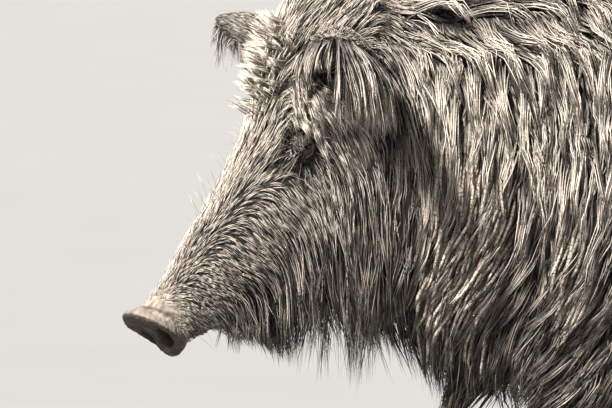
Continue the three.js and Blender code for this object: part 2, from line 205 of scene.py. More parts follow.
def set_points(mesh, points):
    mesh.vertices.foreach_set("co", points.astype(np.float32).ravel())
    mesh.update()


def mesh_edges(mesh):
    return read(mesh.edges, "vertices", 2, np.int32)


def shade_smooth(mesh):
    mesh.polygons.foreach_set("use_smooth", np.ones(len(mesh.polygons), bool))


def edit_mesh(mesh, change):
    """Puts a mesh through a function that changes it as a bmesh."""
    surface = bmesh.new()
    surface.from_mesh(mesh)
    change(surface)
    surface.to_mesh(mesh)
    surface.free()


def smooth(points, edges, strength, rounds):
    """Draws each point towards the middle of its neighbours, by a strength of its own."""
    count = np.bincount(edges.ravel(), minlength=len(points))[:, None]
    for _ in range(rounds):
        total = np.zeros_like(points)
        for axis in range(3):
            ends = points[edges, axis]
            total[:, axis] = np.bincount(edges[:, 0], ends[:, 1], len(points))
            total[:, axis] += np.bincount(edges[:, 1], ends[:, 0], len(points))
        points = points + strength[:, None] * (total / np.maximum(count, 1) - points)
    return points


def new_object(name, mesh):
    obj = bpy.data.objects.new(name, mesh)
    bpy.context.scene.collection.objects.link(obj)
    return obj


def only_select(obj):
    bpy.ops.object.select_all(action="DESELECT")
    obj.select_set(True)
    bpy.context.view_layer.objects.active = obj


EAR_BASE = (0.320, 0.062, 0.014)  # in head coordinates
EAR_TIP = (-0.38, 0.84, 0.38)  # way to the tip in straight coordinates, with the side outward
EAR_BACK = (0.15, 0, 1)
EAR_LENGTH = 0.128
EAR_HALF = [(0, 0.028), (0.25, 0.040), (0.5, 0.041), (0.75, 0.031), (0.92, 0.017), (1, 0.006)]
EAR_ARCH = [(0, 0.023), (0.25, 0.031), (0.5, 0.030), (0.75, 0.021), (1, 0.004)]
EAR_THICK = 0.0085


def ear_frame(side):
    """The ear's base and its directions: to the tip, over its back, and across it."""
    base = from_head(EAR_BASE[0], side * EAR_BASE[1], EAR_BASE[2])[0]
    tip = np.array([EAR_TIP[0], side * EAR_TIP[1], EAR_TIP[2]])
    tip /= np.linalg.norm(tip)
    across = np.cross(tip, EAR_BACK)
    across /= np.linalg.norm(across)
    return base, tip, np.cross(across, tip), across


def ear_point(side, s, t, depth):
    """A point of the ear in straight coordinates: s to the tip, t across it from -1 to 1."""
    base, tip, back, across = ear_frame(side)
    half = np.interp(s, *zip(*EAR_HALF))
    arch = np.interp(s, *zip(*EAR_ARCH))
    sideways = t * (half - 0.35 * depth)
    height = arch * (1 - t * t) - depth
    return base + np.outer(s * EAR_LENGTH, tip) + np.outer(sideways, across) + np.outer(height, back)


def ear_mesh(side):
    """A cupped leaf of even thickness."""
    rows, columns = 15, 13
    arc = np.linspace(-1, 1, columns)
    ring_t = np.concatenate([arc, arc[-2:0:-1]])
    ring_depth = np.concatenate([np.zeros(columns), np.full(columns - 2, EAR_THICK)])
    points = []
    for s in np.linspace(-0.1, 1, rows):
        points.append(ear_point(side, np.full(len(ring_t), s), ring_t, ring_depth))
    ring = len(ring_t)
    faces = []
    for row in range(rows - 1):
        for i in range(ring):
            a, b = row * ring + i, row * ring + (i + 1) % ring
            faces.append((a, b, b + ring, a + ring))
    faces.append(tuple(range(ring))[::-1])
    faces.append(tuple((rows - 1) * ring + i for i in range(ring)))
    mesh = bpy.data.meshes.new("ear")
    mesh.from_pydata(bend(np.vstack(points)).tolist(), [], faces)
    edit_mesh(mesh, lambda leaf: bmesh.ops.recalc_face_normals(leaf, faces=leaf.faces))
    return mesh


def leg_share(place):
    """1 on the legs below the trunk, 0 on the rest."""
    share = np.zeros(len(place.x))
    for x, y in LEG_AXES:
        distance = np.hypot(place.x - x, place.y - y)
        share = np.maximum(share, fade(distance, 0.075, 0.12))
    return share * fade(place.z, 0.33, 0.45)


def head_share(place):
    return fade(place.x, -0.235, -0.190)


def tail_share(place):
    return ramp(place.x, 0.775, 0.792) * ramp(place.z, 0.2, 0.25)


def coat_depth(place, normals):
    """How far the skin lies inside the solids, which reach to the tips of the coat."""
    back = ramp(normals[:, 2], 0.2, 0.8)
    below = ramp(-normals[:, 2], 0.2, 0.8)
    crest = back * fade(place.x, 0.25, 0.6)
    body = 0.021 + 0.017 * crest - 0.003 * below
    fore = ramp(place.along, 0.02, 0.34)
    forehead = ramp(place.up, 0.0, 0.05) * ramp(place.along, 0.18, 0.3)
    head = 0.0005 + 0.0035 * ramp(place.along, 0.012, 0.05) + 0.009 * fore + 0.004 * forehead
    head += 0.006 * fade(place.up, -0.12, -0.05) * ramp(place.along, 0.05, 0.12)
    depth = body + (head - body) * head_share(place)
    depth += (0.0015 + 0.003 * ramp(place.z, 0.05, 0.15) - depth) * leg_share(place)
    depth += (0.006 - depth) * tail_share(place)
    return depth


def throat_rise(place):
    """Lifts the throat clear of the beard, whose hair fills the solids below it."""
    share = fade(place.x, -0.24, -0.08)
    rise = 0.45 * share * np.maximum(0.54 - place.z, 0)
    return np.column_stack([np.zeros_like(rise), np.zeros_like(rise), rise])


def fill_hollows(surface):
    """Replaces the nose disc by its hull: its dish and nostrils are pressed into the skin later."""
    hull = bmesh.ops.convex_hull(surface, input=surface.verts)
    unused = [e for e in hull["geom_interior"] + hull["geom_unused"] if isinstance(e, bmesh.types.BMVert)]
    bmesh.ops.delete(surface, geom=unused, context="VERTS")
    kept = {f for f in hull["geom"] if isinstance(f, bmesh.types.BMFace)}
    bmesh.ops.delete(surface, geom=[f for f in surface.faces if f not in kept], context="FACES")


def joined_solids():
    """The solids of flesh, grown by OVERLAP, with balls at the dewclaws and eyes, and the ears."""
    whole = bmesh.new()
    for name in FLESH:
        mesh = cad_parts[name].data.copy()
        points = mesh_points(mesh) + mesh_normals(mesh) * OVERLAP
        if name in ("beard", "neck"):
            points = points + throat_rise(Place(points))
        set_points(mesh, points)
        if name == "nose_disc":
            edit_mesh(mesh, fill_hollows)
        whole.from_mesh(mesh)
        bpy.data.meshes.remove(mesh)
    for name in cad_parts:
        if name.startswith("dewclaw"):
            low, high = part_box(name)
            root = Vector(((low[0] + high[0]) / 2 - 0.006, (low[1] + high[1]) / 2, high[2] - 0.005))
            place = Matrix.Translation(root)
            bmesh.ops.create_icosphere(whole, subdivisions=2, radius=0.014, matrix=place)
    for side in (-1, 1):
        middle = bend(from_head(EYE[0], side * EYE[1], EYE[2]))[0]
        place = Matrix.Translation(Vector(middle))
        bmesh.ops.create_icosphere(whole, subdivisions=3, radius=EYE_RADIUS + 0.004, matrix=place)
    ears = [ear_mesh(-1), ear_mesh(1)]
    for mesh in ears:
        whole.from_mesh(mesh)
    ear_surface = bmesh.new()
    for mesh in ears:
        ear_surface.from_mesh(mesh)
    near_ear = BVHTree.FromBMesh(ear_surface)
    ear_surface.free()
    mesh = bpy.data.meshes.new("skin")
    whole.to_mesh(mesh)
    whole.free()
    return mesh, near_ear


def ear_share(points, near_ear, place):
    """1 on the ears, 0 away from them."""
    share = np.zeros(len(points))
    close = np.nonzero((place.along > 0.25) & (np.abs(place.side) > 0.05) & (place.x < -0.15))[0]
    for i in close:
        share[i] = near_ear.find_nearest(Vector(points[i]))[3]
    share[close] = fade(share[close], 0.002, 0.010)
    return share


EYE_SLIT = (0.80, 0.22, 0.10)  # way along the slit in head coordinates, with the side outward
SLIT_ANGLES = (33, 19)  # half the slit's length and height, in degrees seen from the eye's middle
LID_THICK = 0.0016


def lid_shape(place):
    """Draws the skin round each eyeball into two lids with a slit between them."""
    long, high = SLIT_ANGLES
    for side in (-1, 1):
        outward = np.array([1, side, 1])
        axis = unit((outward * EYE_AXIS)[None])[0]
        slit = unit((outward * EYE_SLIT)[None])[0]
        slit -= axis * (slit @ axis)
        slit /= np.linalg.norm(slit)
        rise = np.cross(axis, slit) * -side
        local = np.column_stack([place.along - EYE[0], place.side - side * EYE[1], place.up - EYE[2]])
        distance = np.linalg.norm(local, axis=1)
        towards = local / np.maximum(distance, 1e-6)[:, None]
        out = towards @ axis
        width = np.degrees(np.arctan2(towards @ slit, np.maximum(out, 1e-3)))
        height = np.degrees(np.arctan2(towards @ rise, np.maximum(out, 1e-3)))
        inside = (width / long) ** 2 + (height / (high - 0.12 * np.abs(width))) ** 2
        crease = bump(np.abs(height), 38, 9) * bump(width, 0, 75)
        rim = bump(inside, 1.5, 0.7)
        lid = EYE_RADIUS + LID_THICK + 0.0005 * rim - 0.0010 * crease
        opening = fade(inside, 0.9, 1.12)
        target = lid * (1 - opening) + (EYE_RADIUS - 0.004) * opening
        hold = fade(distance, 0.017, 0.030) * ramp(out, 0.05, 0.45)
        new = distance + (target - distance) * hold
        local = towards * new[:, None]
        place.along = local[:, 0] + EYE[0]
        place.side = local[:, 1] + side * EYE[1]
        place.up = local[:, 2] + EYE[2]
    return place


DISC_LEAN = 0.05  # slopes of the disc's face upwards and to the right
DISC_TURN = 0.24
DISC_FACE = 0.0005  # where the middle of the face lies along the head
NOSTRIL = (0.0150, -0.006, 0.0092, 0.0120)  # side, up and radii of its mouth
NOSTRIL_DEPTH = 0.017
SWELLING = 0.0095  # how far the lower half of the disc stands out between the nostrils
LIP = 0.0012  # how far the upper rim of the disc curls forward


def behind_face(place):
    """How far points lie behind the plane of the nose disc's face."""
    return place.along - DISC_FACE + DISC_LEAN * place.up + DISC_TURN * place.side


def nostril_share(place):
    """1 inside the nostrils' mouths, 0 outside."""
    side, up, wide, high = NOSTRIL
    lean = 0.25 * (place.up - up)
    r = np.hypot((np.abs(place.side) - side - lean) / wide, (place.up - up) / high)
    return fade(r, 0.78, 1.12)


def disc_hollows(place):
    """How far the disc's face is pressed in by its dish and nostrils, less its swelling and lip."""
    face = fade(behind_face(place), 0.002, 0.004)
    r = np.hypot(place.side / 0.031, (place.up - 0.003) / 0.034)
    dish = 0.0035 * fade(r, 0.45, 0.95)
    rim = -0.0012 * bump(np.hypot(place.side / 0.014, (place.up + 0.005) / 0.018), 1, 0.5)
    hollows = face * (dish + rim * fade(r, 0.7, 0.95) + NOSTRIL_DEPTH * nostril_share(place))
    swelling = ramp(-place.up, -0.014, 0.014) * fade(behind_face(place), 0.003, 0.024)
    swelling *= 1 - 0.9 * ramp(np.abs(place.side), 0.002, 0.029)
    lip = ramp(place.up, -0.004, 0.018) * ramp(r, 0.7, 1.0) * fade(behind_face(place), 0.002, 0.010)
    return hollows - SWELLING * swelling - LIP * lip


def tear_share(place, width=0.0045):
    """The crease that runs from the front corner of each eye towards the snout."""
    crease = bump(place.up - 0.008 - 0.2 * (0.222 - place.along), 0, width)
    crease *= ramp(place.along, 0.186, 0.198) * fade(place.along, 0.222, 0.230)
    return crease * ramp(np.abs(place.side), 0.03, 0.045)


def sculpt(points, normals):
    """The mouth line, the folds of the snout, the tear crease, the nostrils and the lids."""
    place = Place(points)
    head = head_share(place) > 0.5
    part = Place(points[head])
    mouth_up = -0.038 - 0.5 * (part.along - 0.032)
    mouth = bump(part.up - mouth_up, 0, 0.006) * ramp(part.along, 0.03, 0.04)
    mouth *= fade(part.along, 0.125, 0.14)
    warp = waves(points[head], 0.03, 41)
    folds = 0.5 + 0.5 * np.sin((part.along + 0.25 * part.up + 0.0016 * warp) * (2 * math.pi / 0.0075))
    folds *= bump(part.along, 0.033, 0.016) * ramp(part.up, -0.03, 0.0)
    waist = bump(behind_face(part), 0.017, 0.009)
    sunk = 0.0035 * mouth + 0.0019 * folds + 0.006 * tear_share(part) + 0.0014 * waist
    snout = fade(part.along, 0.03, 0.05)
    sunk += snout * (0.0003 * waves(points[head], 0.006, 42) + 0.0005 * waves(points[head], 0.016, 43))
    moved = points[head] - normals[head] * sunk[:, None]
    shaped = Place(moved)
    shaped.along = shaped.along + disc_hollows(shaped)
    shaped = lid_shape(shaped)
    result = points.copy()
    result[head] = bend(from_head(shaped.along, shaped.side, shaped.up))
    return result


def refine(mesh, chosen):
    """Divides the faces round the chosen vertices in two each way."""
    def divide(surface):
        edges = [e for e in surface.edges if chosen[e.verts[0].index] and chosen[e.verts[1].index]]
        bmesh.ops.subdivide_edges(surface, edges=edges, cuts=1, use_grid_fill=True, smooth=0.0)

    edit_mesh(mesh, divide)


FINE_ZONES = [(0.034, 0.056), (0.020, 0.024), (0.019, 0.009)]  # reach round the eyes, behind the disc


def fine_zone(place, round_eyes, behind_disc):
    """The snout's end and the surroundings of the eyes."""
    near_eye = np.full(len(place.x), False)
    for side in (-1, 1):
        offset = [place.along - EYE[0], place.side - side * EYE[1], place.up - EYE[2]]
        near_eye |= np.linalg.norm(offset, axis=0) < round_eyes
    return near_eye | ((behind_face(place) < behind_disc) & (place.x < -0.3))


def build_skin():
    """The joined solids as one surface: smoothed, drawn in, refined at the face and sculpted."""
    mesh, near_ear = joined_solids()
    skin = new_object("skin", mesh)
    only_select(skin)
    mesh.remesh_voxel_size = SKIN_VOXEL
    bpy.ops.object.voxel_remesh()
    mesh = skin.data
    points = mesh_points(mesh)
    place = Place(points)
    ears = ear_share(points, near_ear, place)
    head = head_share(place)
    legs = leg_share(place)
    firm = np.maximum.reduce([ears, head * 0.75, legs * 0.6, tail_share(place) * 0.8])
    snout = head * fade(place.along, 0.015, 0.06)
    strength = (0.55 * (1 - firm) + 0.12 * firm) * (1 - 0.93 * snout)
    points = smooth(points, mesh_edges(mesh), strength, 40)
    set_points(mesh, points)
    normals = mesh_normals(mesh)
    depth = coat_depth(Place(points), normals) * (1 - ears) + 0.0008 * ears
    points = points - normals * depth[:, None]
    points = smooth(points, mesh_edges(mesh), 0.4 * (1 - snout) * (1 - ears) + 0.05, 6)
    set_points(mesh, points)
    mesh.attributes.new("ear", "FLOAT", "POINT").data.foreach_set("value", ears.astype(np.float32))
    for zone in FINE_ZONES:
        refine(mesh, fine_zone(Place(mesh_points(mesh)), *zone))
        points = mesh_points(mesh)
        calm = 0.4 * fine_zone(Place(points), *zone)
        set_points(mesh, smooth(points, mesh_edges(mesh), calm, 2))
    points = sculpt(mesh_points(mesh), mesh_normals(mesh))
    set_points(mesh, points)
    shade_smooth(mesh)
    return skin


skin = build_skin()
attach(skin, "root")
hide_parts(*REPLACED)

# ---------------------------------------------------------------- lie of the hair


def head_to_straight(along, side, up):
    """Directions in head coordinates, turned to straight ones."""
    x = along * math.cos(HEAD_PITCH) - up * math.sin(HEAD_PITCH)
    z = along * math.sin(HEAD_PITCH) + up * math.cos(HEAD_PITCH)
    return np.column_stack([x, side, z])


def eye_distance(place):
    """Distance from the nearer eye, seen from the side of the head."""
    return np.hypot(place.along - EYE[0], place.up - EYE[2])


def brow_share(place):
    share = bump(place.along, 0.285, 0.045) * bump(place.up, 0.030, 0.045)
    return share * ramp(place.along, 0.248, 0.262) * ramp(np.abs(place.side), 0.03, 0.05)


def body_way(place, normals):
    """Backward along the crest, down the sides and a little forward low on the neck."""
    outward = np.sign(place.y) * ramp(np.abs(place.y), 0, 0.06)
    back = ramp(normals[:, 2], 0.35, 0.9)
    front = fade(place.x, 0.05, 0.40)
    low = fade(place.z, 0.42, 0.66)
    rump = ramp(place.x, 0.45, 0.70)
    side_x = 0.46 - 0.36 * front - 0.42 * front * low + 0.25 * rump
    side_x += 0.22 * waves(place.straight(), 0.16, 3)
    along = side_x * (1 - back) + back
    return np.column_stack([along, 0.22 * outward * back, -1.0 * (1 - back) - 0.08 * back])


def head_way(place):
    """Up the ridge of the nose, and turning down over the muzzle and the cheeks."""
    outward = np.sign(place.y) * ramp(np.abs(place.y), 0, 0.03)
    fall = ramp(-place.up, -0.028, 0.010)
    steep = 26 * ramp(place.along, 0.10, 0.26) + 32 * ramp(-place.up, 0.03, 0.09)
    angle = np.radians(88 + steep) * fall
    angle *= 1 - 0.85 * tear_share(place, 0.020)
    angle += np.radians(100) * brow_share(place) * (1 - fall)
    angle += np.radians(8) * waves(place.straight(), 0.05, 4)
    along, up = np.cos(angle), -np.sin(angle)
    # Round the eye the hair points away from it.
    from_eye = np.column_stack([place.along - EYE[0], place.up - EYE[2]])
    away = fade(eye_distance(place), 0.014, 0.030) * ramp(np.abs(place.side), 0.03, 0.05)
    radial = unit(from_eye) * away[:, None] * 1.6
    return head_to_straight(along + radial[:, 0], 0.15 * outward * (1 - fall), up + radial[:, 1])


def ear_way(place):
    """From the root of each ear to its tip."""
    tips = np.tile(EAR_TIP, (len(place.x), 1))
    tips[:, 1] *= np.sign(place.y)
    return tips


def lie_of_hair(place, normals, ears):
    """The way the hair points at each place, along the skin."""
    head, ears = head_share(place)[:, None], ears[:, None]
    way = body_way(place, normals) * (1 - head) + head_way(place) * head
    way = place.turn(unit(way * (1 - ears) + ear_way(place) * ears))
    way -= normals * np.sum(way * normals, axis=1, keepdims=True)
    return unit(way)


def hair_traits(place, normals, ears):
    """The hair's sizes in metres, its cover, and how it gathers, droops, curls and strays."""
    back = ramp(normals[:, 2], 0.3, 0.9)
    under = ramp(-normals[:, 2], 0.25, 0.7)
    fore = fade(place.x, 0.15, 0.45)
    # Neck and trunk.
    throat = under * fade(place.x, -0.10, 0.05)
    flank = fade(place.z, 0.50, 0.66)
    traits = {
        "length": 0.076 + 0.016 * fore + 0.020 * back * fore + 0.030 * throat,
        "width": 0.0021 - 0.0006 * fade(place.x, 0.12, 0.22),
        "height": 0.017 + 0.006 * fore + 0.012 * back * fore,
        "cover": 2.9 + 0.3 * fore + 0.7 * back,
        "gather": np.full_like(fore, 0.87),
        "droop": 0.35 + 1.2 * under,
        "curl": 0.0020 + 0.0016 * fore,
        "sweep": 0.75 * fore * flank * (1 - under),
        "stray": np.full_like(fore, 0.16),
        "contrast": 0.55 + 0.45 * fore,
    }

    def mix(share, **values):
        for name, value in values.items():
            traits[name] = traits[name] + (value - traits[name]) * share

    # Head: short at the snout, longer towards the cheeks and the crown, hanging under the jaw.
    rear = ramp(place.along, 0.03, 0.16)
    jowl = ramp(place.along, 0.15, 0.30)
    low_cheek = ramp(-place.up, 0.04, 0.09) * ramp(place.along, 0.07, 0.15)
    beard = ramp(-normals[:, 2], -0.05, 0.35) * ramp(place.along, 0.026, 0.050)
    beard *= ramp(-place.up, 0.022, 0.055)
    brow = brow_share(place)
    mix(
        head_share(place),
        length=0.007 + 0.004 * ramp(place.along, 0.012, 0.045)
        + 0.013 * ramp(place.along, 0.05, 0.16) + 0.012 * jowl + 0.026 * low_cheek + 0.006 * brow,
        width=0.00068 + 0.00024 * rear + 0.00015 * jowl,
        height=0.0018 + 0.0022 * rear + 0.005 * jowl + 0.005 * brow,
        cover=1.45 + 0.35 * rear,
        gather=0.22 + 0.30 * jowl,
        droop=0.05 + 0.15 * jowl + 0.4 * low_cheek,
        curl=0.0003 + 0.0006 * jowl,
        sweep=0, stray=0.07, contrast=1,
    )
    mix(
        head_share(place) * beard,
        length=0.030 + 0.062 * ramp(place.along, 0.02, 0.14), width=0.0011,
        height=0.006 + 0.020 * ramp(place.along, 0.02, 0.18), cover=2.2, gather=0.70,
        droop=2.2, curl=0.0012,
    )
    mix(
        head_share(place) * np.maximum(eye_rim(place), tear_share(place, 0.013)),
        length=0.007, width=0.0006, height=0.0012, cover=1.8, gather=0.1, droop=0, curl=0.0003,
    )
    # Low contrast keeps the strands in the painted shade of the sockets and tear creases evenly dark.
    mix(head_share(place) * np.maximum(socket_share(place), tear_share(place, 0.010)), contrast=0.25)
    foot = fade(place.z, 0.10, 0.22)
    mix(
        leg_share(place),
        length=0.028 - 0.010 * foot, width=0.0019 - 0.0004 * foot,
        height=0.0038 - 0.002 * foot, cover=1.25, gather=0.45, droop=0.1, curl=0.0004,
        contrast=0.4,
    )
    tuft = fade(place.z, 0.42, 0.54)
    mix(
        tail_share(place),
        length=0.040 + 0.050 * tuft, width=0.0016, height=0.007, cover=2.2, gather=0.6, droop=0.5,
        curl=0.001,
    )
    inside = ears * ear_inside(place, normals)
    mix(
        ears,
        length=0.017, width=0.0009, height=0.0030, cover=1.9 - 1.3 * inside, gather=0.4, droop=0.2,
        curl=0.0003,
    )
    # Bare places: the snout's end, the rims of the eyes, and a muddy patch behind each eye.
    hairless = 0.010 + 0.014 * ramp(place.up, -0.012, 0.010)
    bare = fade(place.along - hairless, 0, 0.018)
    bare = np.maximum(bare, fade(eye_distance(place), 0.0075, 0.010))
    bare = np.maximum(bare, 0.9 * temple_share(place))
    bare = np.maximum(bare, 0.9 * tear_share(place))
    traits["cover"] = traits["cover"] * (1 - bare * head_share(place) * (1 - ears))
    traits["flat"] = np.ones_like(fore)
    traits["clump"] = 0.55 + 0.65 * head_share(place)
    return traits


def ear_inside(place, normals):
    """1 on the hollow side of the ears, 0 on their backs."""
    backs = np.empty((len(place.x), 3))
    for side in (-1, 1):
        backs[place.y * side >= 0] = ear_frame(side)[2]
    return ramp(-np.sum(place.turn(backs) * normals, axis=1), -0.1, 0.3)


def temple_share(place):
    """The smooth, mud-caked patch between the eye and the ear."""
    r = np.hypot((place.along - 0.262) / 0.024, (place.up + 0.041) / 0.017)
    return fade(r, 0.6, 1.1) * ramp(np.abs(place.side), 0.03, 0.05)


def eye_rim(place):
    return fade(eye_distance(place), 0.014, 0.024) * ramp(np.abs(place.side), 0.03, 0.045)


def socket_share(place):
    """The dark hollow under the brow, in front of the eye."""
    r = np.hypot((place.along - 0.229) / 0.028, (place.up - 0.006) / 0.021)
    return fade(r, 0.5, 1.15) * ramp(np.abs(place.side), 0.03, 0.045)


# ---------------------------------------------------------------- colours

STRAW = np.array([0.80, 0.705, 0.60])
BRISTLE = np.array([0.013, 0.0105, 0.009])
MUD = np.array([0.50, 0.425, 0.355])
DUST = np.array([0.50, 0.42, 0.345])
WET_HIDE = np.array([0.060, 0.045, 0.036])
EAR_HIDE = np.array([0.11, 0.088, 0.076])


def mud_share(place):
    """Where the coat is caked with dried mud."""
    points = place.straight()
    patch = bump(place.x, -0.135, 0.09) * bump(place.z, 0.57, 0.18)
    patch += 0.36 * bump(place.x, -0.01, 0.15) * bump(place.z, 0.50, 0.13)
    patch *= ramp(-place.y, 0.02, 0.06)
    spots = ramp(waves(points, 0.09, 11) + 0.5 * waves(points, 0.03, 12), 0.75, 1.3)
    low = fade(place.z, 0.40, 0.62)
    return np.clip(patch + spots * (0.35 + 0.3 * low), 0, 1)


def pelage_and_painted_light(place, normals):
    """How light the coat is at each place, from 0 for black bristle to 1 for straw: its own tones, with
    painted light where the key light falls and painted shade where shade falls.
    """
    points = place.straight()
    fore = fade(place.x, 0.05, 0.45)
    light = 0.62 + 0.18 * fore + 0.12 * waves(points, 0.22, 21)
    light += (0.04 + 0.06 * fore) * waves(points, 0.05, 22)
    # Painted light on the coat that faces up, and painted shade on the coat that faces down.
    light += 0.15 * ramp(normals[:, 2], 0.2, 0.9)
    light -= 0.25 * ramp(-normals[:, 2], 0.1, 0.7)
    # Painted shadow of the head and ear: a dark band on the neck just behind the cheek.
    light -= 0.42 * bump(place.x, -0.222, 0.045) * fade(place.z, 0.68, 0.74)
    # Painted shade under the jaw and the jowls; the head as a whole is a little lighter.
    jaw = ramp(-place.up, 0.036, 0.070) * ramp(place.along, 0.03, 0.07)
    jaw *= 1 - 0.5 * ramp(place.along, 0.13, 0.20)
    light += head_share(place) * (0.08 - 0.45 * jaw)
    # Painted light on the forehead and crown, and on the top of the neck and shoulders, where the key light
    # falls.
    light += 0.14 * head_share(place) * ramp(place.up, 0.0, 0.04) * ramp(place.along, 0.15, 0.25)
    light += 0.08 * bump(place.x, -0.05, 0.25) * ramp(place.z, 0.52, 0.66)
    light += 0.26 * bump(place.x, -0.12, 0.22) * ramp(place.z, 0.65, 0.73)
    # The ears' hair darker in its own tone, with painted shade added in their hollows and over the whole
    # far ear.
    ear = ramp(np.abs(place.side), 0.060, 0.085) * ramp(place.along, 0.27, 0.30) * head_share(place)
    light -= ear * (0.30 + 0.25 * ear_inside(place, normals) + 0.30 * (place.side > 0))
    # Painted shade on the brow, under its tuft of hair.
    light -= 0.38 * brow_share(place) * head_share(place)
    light -= 0.35 * leg_share(place) * fade(place.z, 0.10, 0.30)
    # Painted shade low on the neck and shoulder.
    low = fade(place.z, 0.44, 0.58)
    light -= 0.60 * low * fade(place.x, 0.15, 0.40) * (1 - head_share(place))
    # Painted shade in the tear creases and in the hollows under the brows.
    light -= head_share(place) * np.maximum(tear_share(place, 0.012), socket_share(place))
    return np.clip(light, 0, 1)


def hide_colours_and_shade(place, normals, ears):
    """The skin's colours: dark under the coat, dusty on the snout, wet on the disc's face, with painted
    shade in the nostrils, round the eyes and in the tear creases.
    """
    points = place.straight()
    light = pelage_and_painted_light(place, normals)[:, None]
    # Near black under the coat: the skin's own dark tone, deepened as painted shade for the gaps between
    # the locks.
    colour = BRISTLE * 0.5 + (STRAW - BRISTLE) * 0.004 * light

    def mix(share, other):
        nonlocal colour
        colour = colour + (other - colour) * np.clip(share, 0, 1)[:, None]

    head = head_share(place)
    mix(mud_share(place) * 0.5, MUD * 0.1)
    snout = head * fade(place.along, 0.030, 0.055)
    mix(snout, DUST * 0.28)
    folds = ramp(place.along, 0.008, 0.022)
    mix(snout * ramp(place.up, -0.022, 0.012) * (0.35 + 0.65 * folds), DUST * 0.85)
    mix(snout * (0.4 + 0.4 * waves(points, 0.009, 51)), DUST * 0.25)
    face = fade(np.hypot(place.side / 0.033, place.up / 0.037), 0.72, 0.86)
    face = np.maximum(face, fade(behind_face(place), 0.0005, 0.003))
    face *= head * fade(behind_face(place), 0.016, 0.020)
    mix(face, WET_HIDE)
    # Painted shade: the insides of the nostrils near black.
    mix(face * nostril_share(place), WET_HIDE * 0.1)
    mix(head * temple_share(place), MUD * 0.26)
    # Painted shade round the eyes, in the hollows under the brows and in the tear creases.
    mix(head * np.maximum(eye_rim(place), socket_share(place)), BRISTLE * 0.6)
    mix(head * tear_share(place), BRISTLE * 0.5)
    mix(ears, EAR_HIDE * 0.8)
    mix(ears * ear_inside(place, normals), EAR_HIDE)
    return colour


def paint(mesh, colours):
    rgba = np.column_stack([np.clip(colours, 0, 1), np.ones(len(colours))])
    tint = mesh.attributes.new("Tint", "FLOAT_COLOR", "POINT")
    tint.data.foreach_set("color", rgba.astype(np.float32).ravel())


# ---------------------------------------------------------------- materials


class Nodes:
    """A new material's shader and short ways to add nodes to it."""

    def __init__(self, name, **constants):
        self.material = bpy.data.materials.new(name)
        self.material.use_nodes = True
        self.tree = self.material.node_tree
        self.shader = self.tree.nodes["Principled BSDF"]
        for key, value in constants.items():
            self.shader.inputs[key.replace("_", " ")].default_value = value
        self.place = self.add("TexCoord").outputs["Object"]

    def add(self, kind, **settings):
        node = self.tree.nodes.new("ShaderNode" + kind)
        for key, value in settings.items():
            setattr(node, key, value)
        return node

    def join(self, output, target):
        self.tree.links.new(output, target)

    def tint(self):
        return self.add("Attribute", attribute_name="Tint").outputs["Color"]

    def noise(self, scale, detail=5.0):
        node = self.add("TexNoise")
        node.inputs["Scale"].default_value = scale
        node.inputs["Detail"].default_value = detail
        self.join(self.place, node.inputs["Vector"])
        return node.outputs["Fac"]

    def cells(self, scale, feature="F1"):
        node = self.add("TexVoronoi", feature=feature)
        node.inputs["Scale"].default_value = scale
        self.join(self.place, node.inputs["Vector"])
        return node.outputs["Distance"]

    def spread(self, value, low, high, to_low, to_high):
        node = self.add("MapRange")
        for key, number in zip(("From Min", "From Max", "To Min", "To Max"), (low, high, to_low, to_high)):
            node.inputs[key].default_value = number
        self.join(value, node.inputs["Value"])
        return node.outputs["Result"]

    def shade(self, colour, value):
        """The colour, multiplied by a value."""
        node = self.add("VectorMath", operation="SCALE")
        self.join(colour, node.inputs[0])
        self.join(value, node.inputs["Scale"])
        return node.outputs["Vector"]

    def mix(self, share, one, other):
        node = self.add("Mix", data_type="RGBA")
        self.join(share, node.inputs["Factor"])
        for value, socket in ((one, node.inputs[6]), (other, node.inputs[7])):
            if isinstance(value, bpy.types.NodeSocket):
                self.join(value, socket)
            else:
                socket.default_value = (*value, 1)
        return node.outputs[2]

    def raise_by(self, height, distance, below=None):
        node = self.add("Bump")
        node.inputs["Distance"].default_value = distance
        self.join(height, node.inputs["Height"])
        if below is not None:
            self.join(below, node.inputs["Normal"])
        return node.outputs["Normal"]

    def finish(self, colour, roughness, normal):
        self.join(colour, self.shader.inputs["Base Color"])
        self.join(roughness, self.shader.inputs["Roughness"])
        self.join(normal, self.shader.inputs["Normal"])
        return self.material


def hair_material():
    """Wet bristle: the strand's own colour, streaked and dulled by dried mud."""
    made = Nodes("hair", Specular_IOR_Level=0.45)
    streaks = made.spread(made.noise(420), 0.3, 0.7, 0.66, 1.22)
    dirt = made.spread(made.noise(38, 8.0), 0.55, 0.72, 0.0, 0.45)
    colour = made.mix(dirt, made.shade(made.tint(), streaks), MUD * 0.8)
    roughness = made.spread(made.noise(70), 0.3, 0.7, 0.38, 0.62)
    return made.finish(colour, roughness, made.raise_by(made.noise(1500), 0.0003))


def hide_material():
    """Skin with pores and fine wrinkles, dusty where it is bare."""
    made = Nodes("hide", Specular_IOR_Level=0.3)
    blotches = made.spread(made.noise(110, 8.0), 0.3, 0.7, 0.62, 1.25)
    pores = made.spread(made.cells(900), 0.0, 0.5, 0.55, 1.0)
    colour = made.shade(made.shade(made.tint(), blotches), pores)
    roughness = made.spread(made.noise(90), 0.3, 0.7, 0.5, 0.85)
    wrinkles = made.raise_by(made.noise(260, 8.0), 0.0016)
    return made.finish(colour, roughness, made.raise_by(made.cells(800), 0.0006, wrinkles))


def mud_material():
    """Dried mud with cracks and grit."""
    made = Nodes("mud", Specular_IOR_Level=0.25)
    grit = made.spread(made.noise(300, 9.0), 0.3, 0.7, 0.6, 1.2)
    cracks = made.spread(made.cells(130, "DISTANCE_TO_EDGE"), 0.0, 0.06, 0.35, 1.0)
    colour = made.shade(made.shade(made.tint(), grit), cracks)
    roughness = made.spread(made.noise(120), 0.3, 0.7, 0.7, 0.95)
    grain = made.raise_by(made.noise(420, 9.0), 0.0014)
    return made.finish(colour, roughness, made.raise_by(cracks, 0.0012, grain))


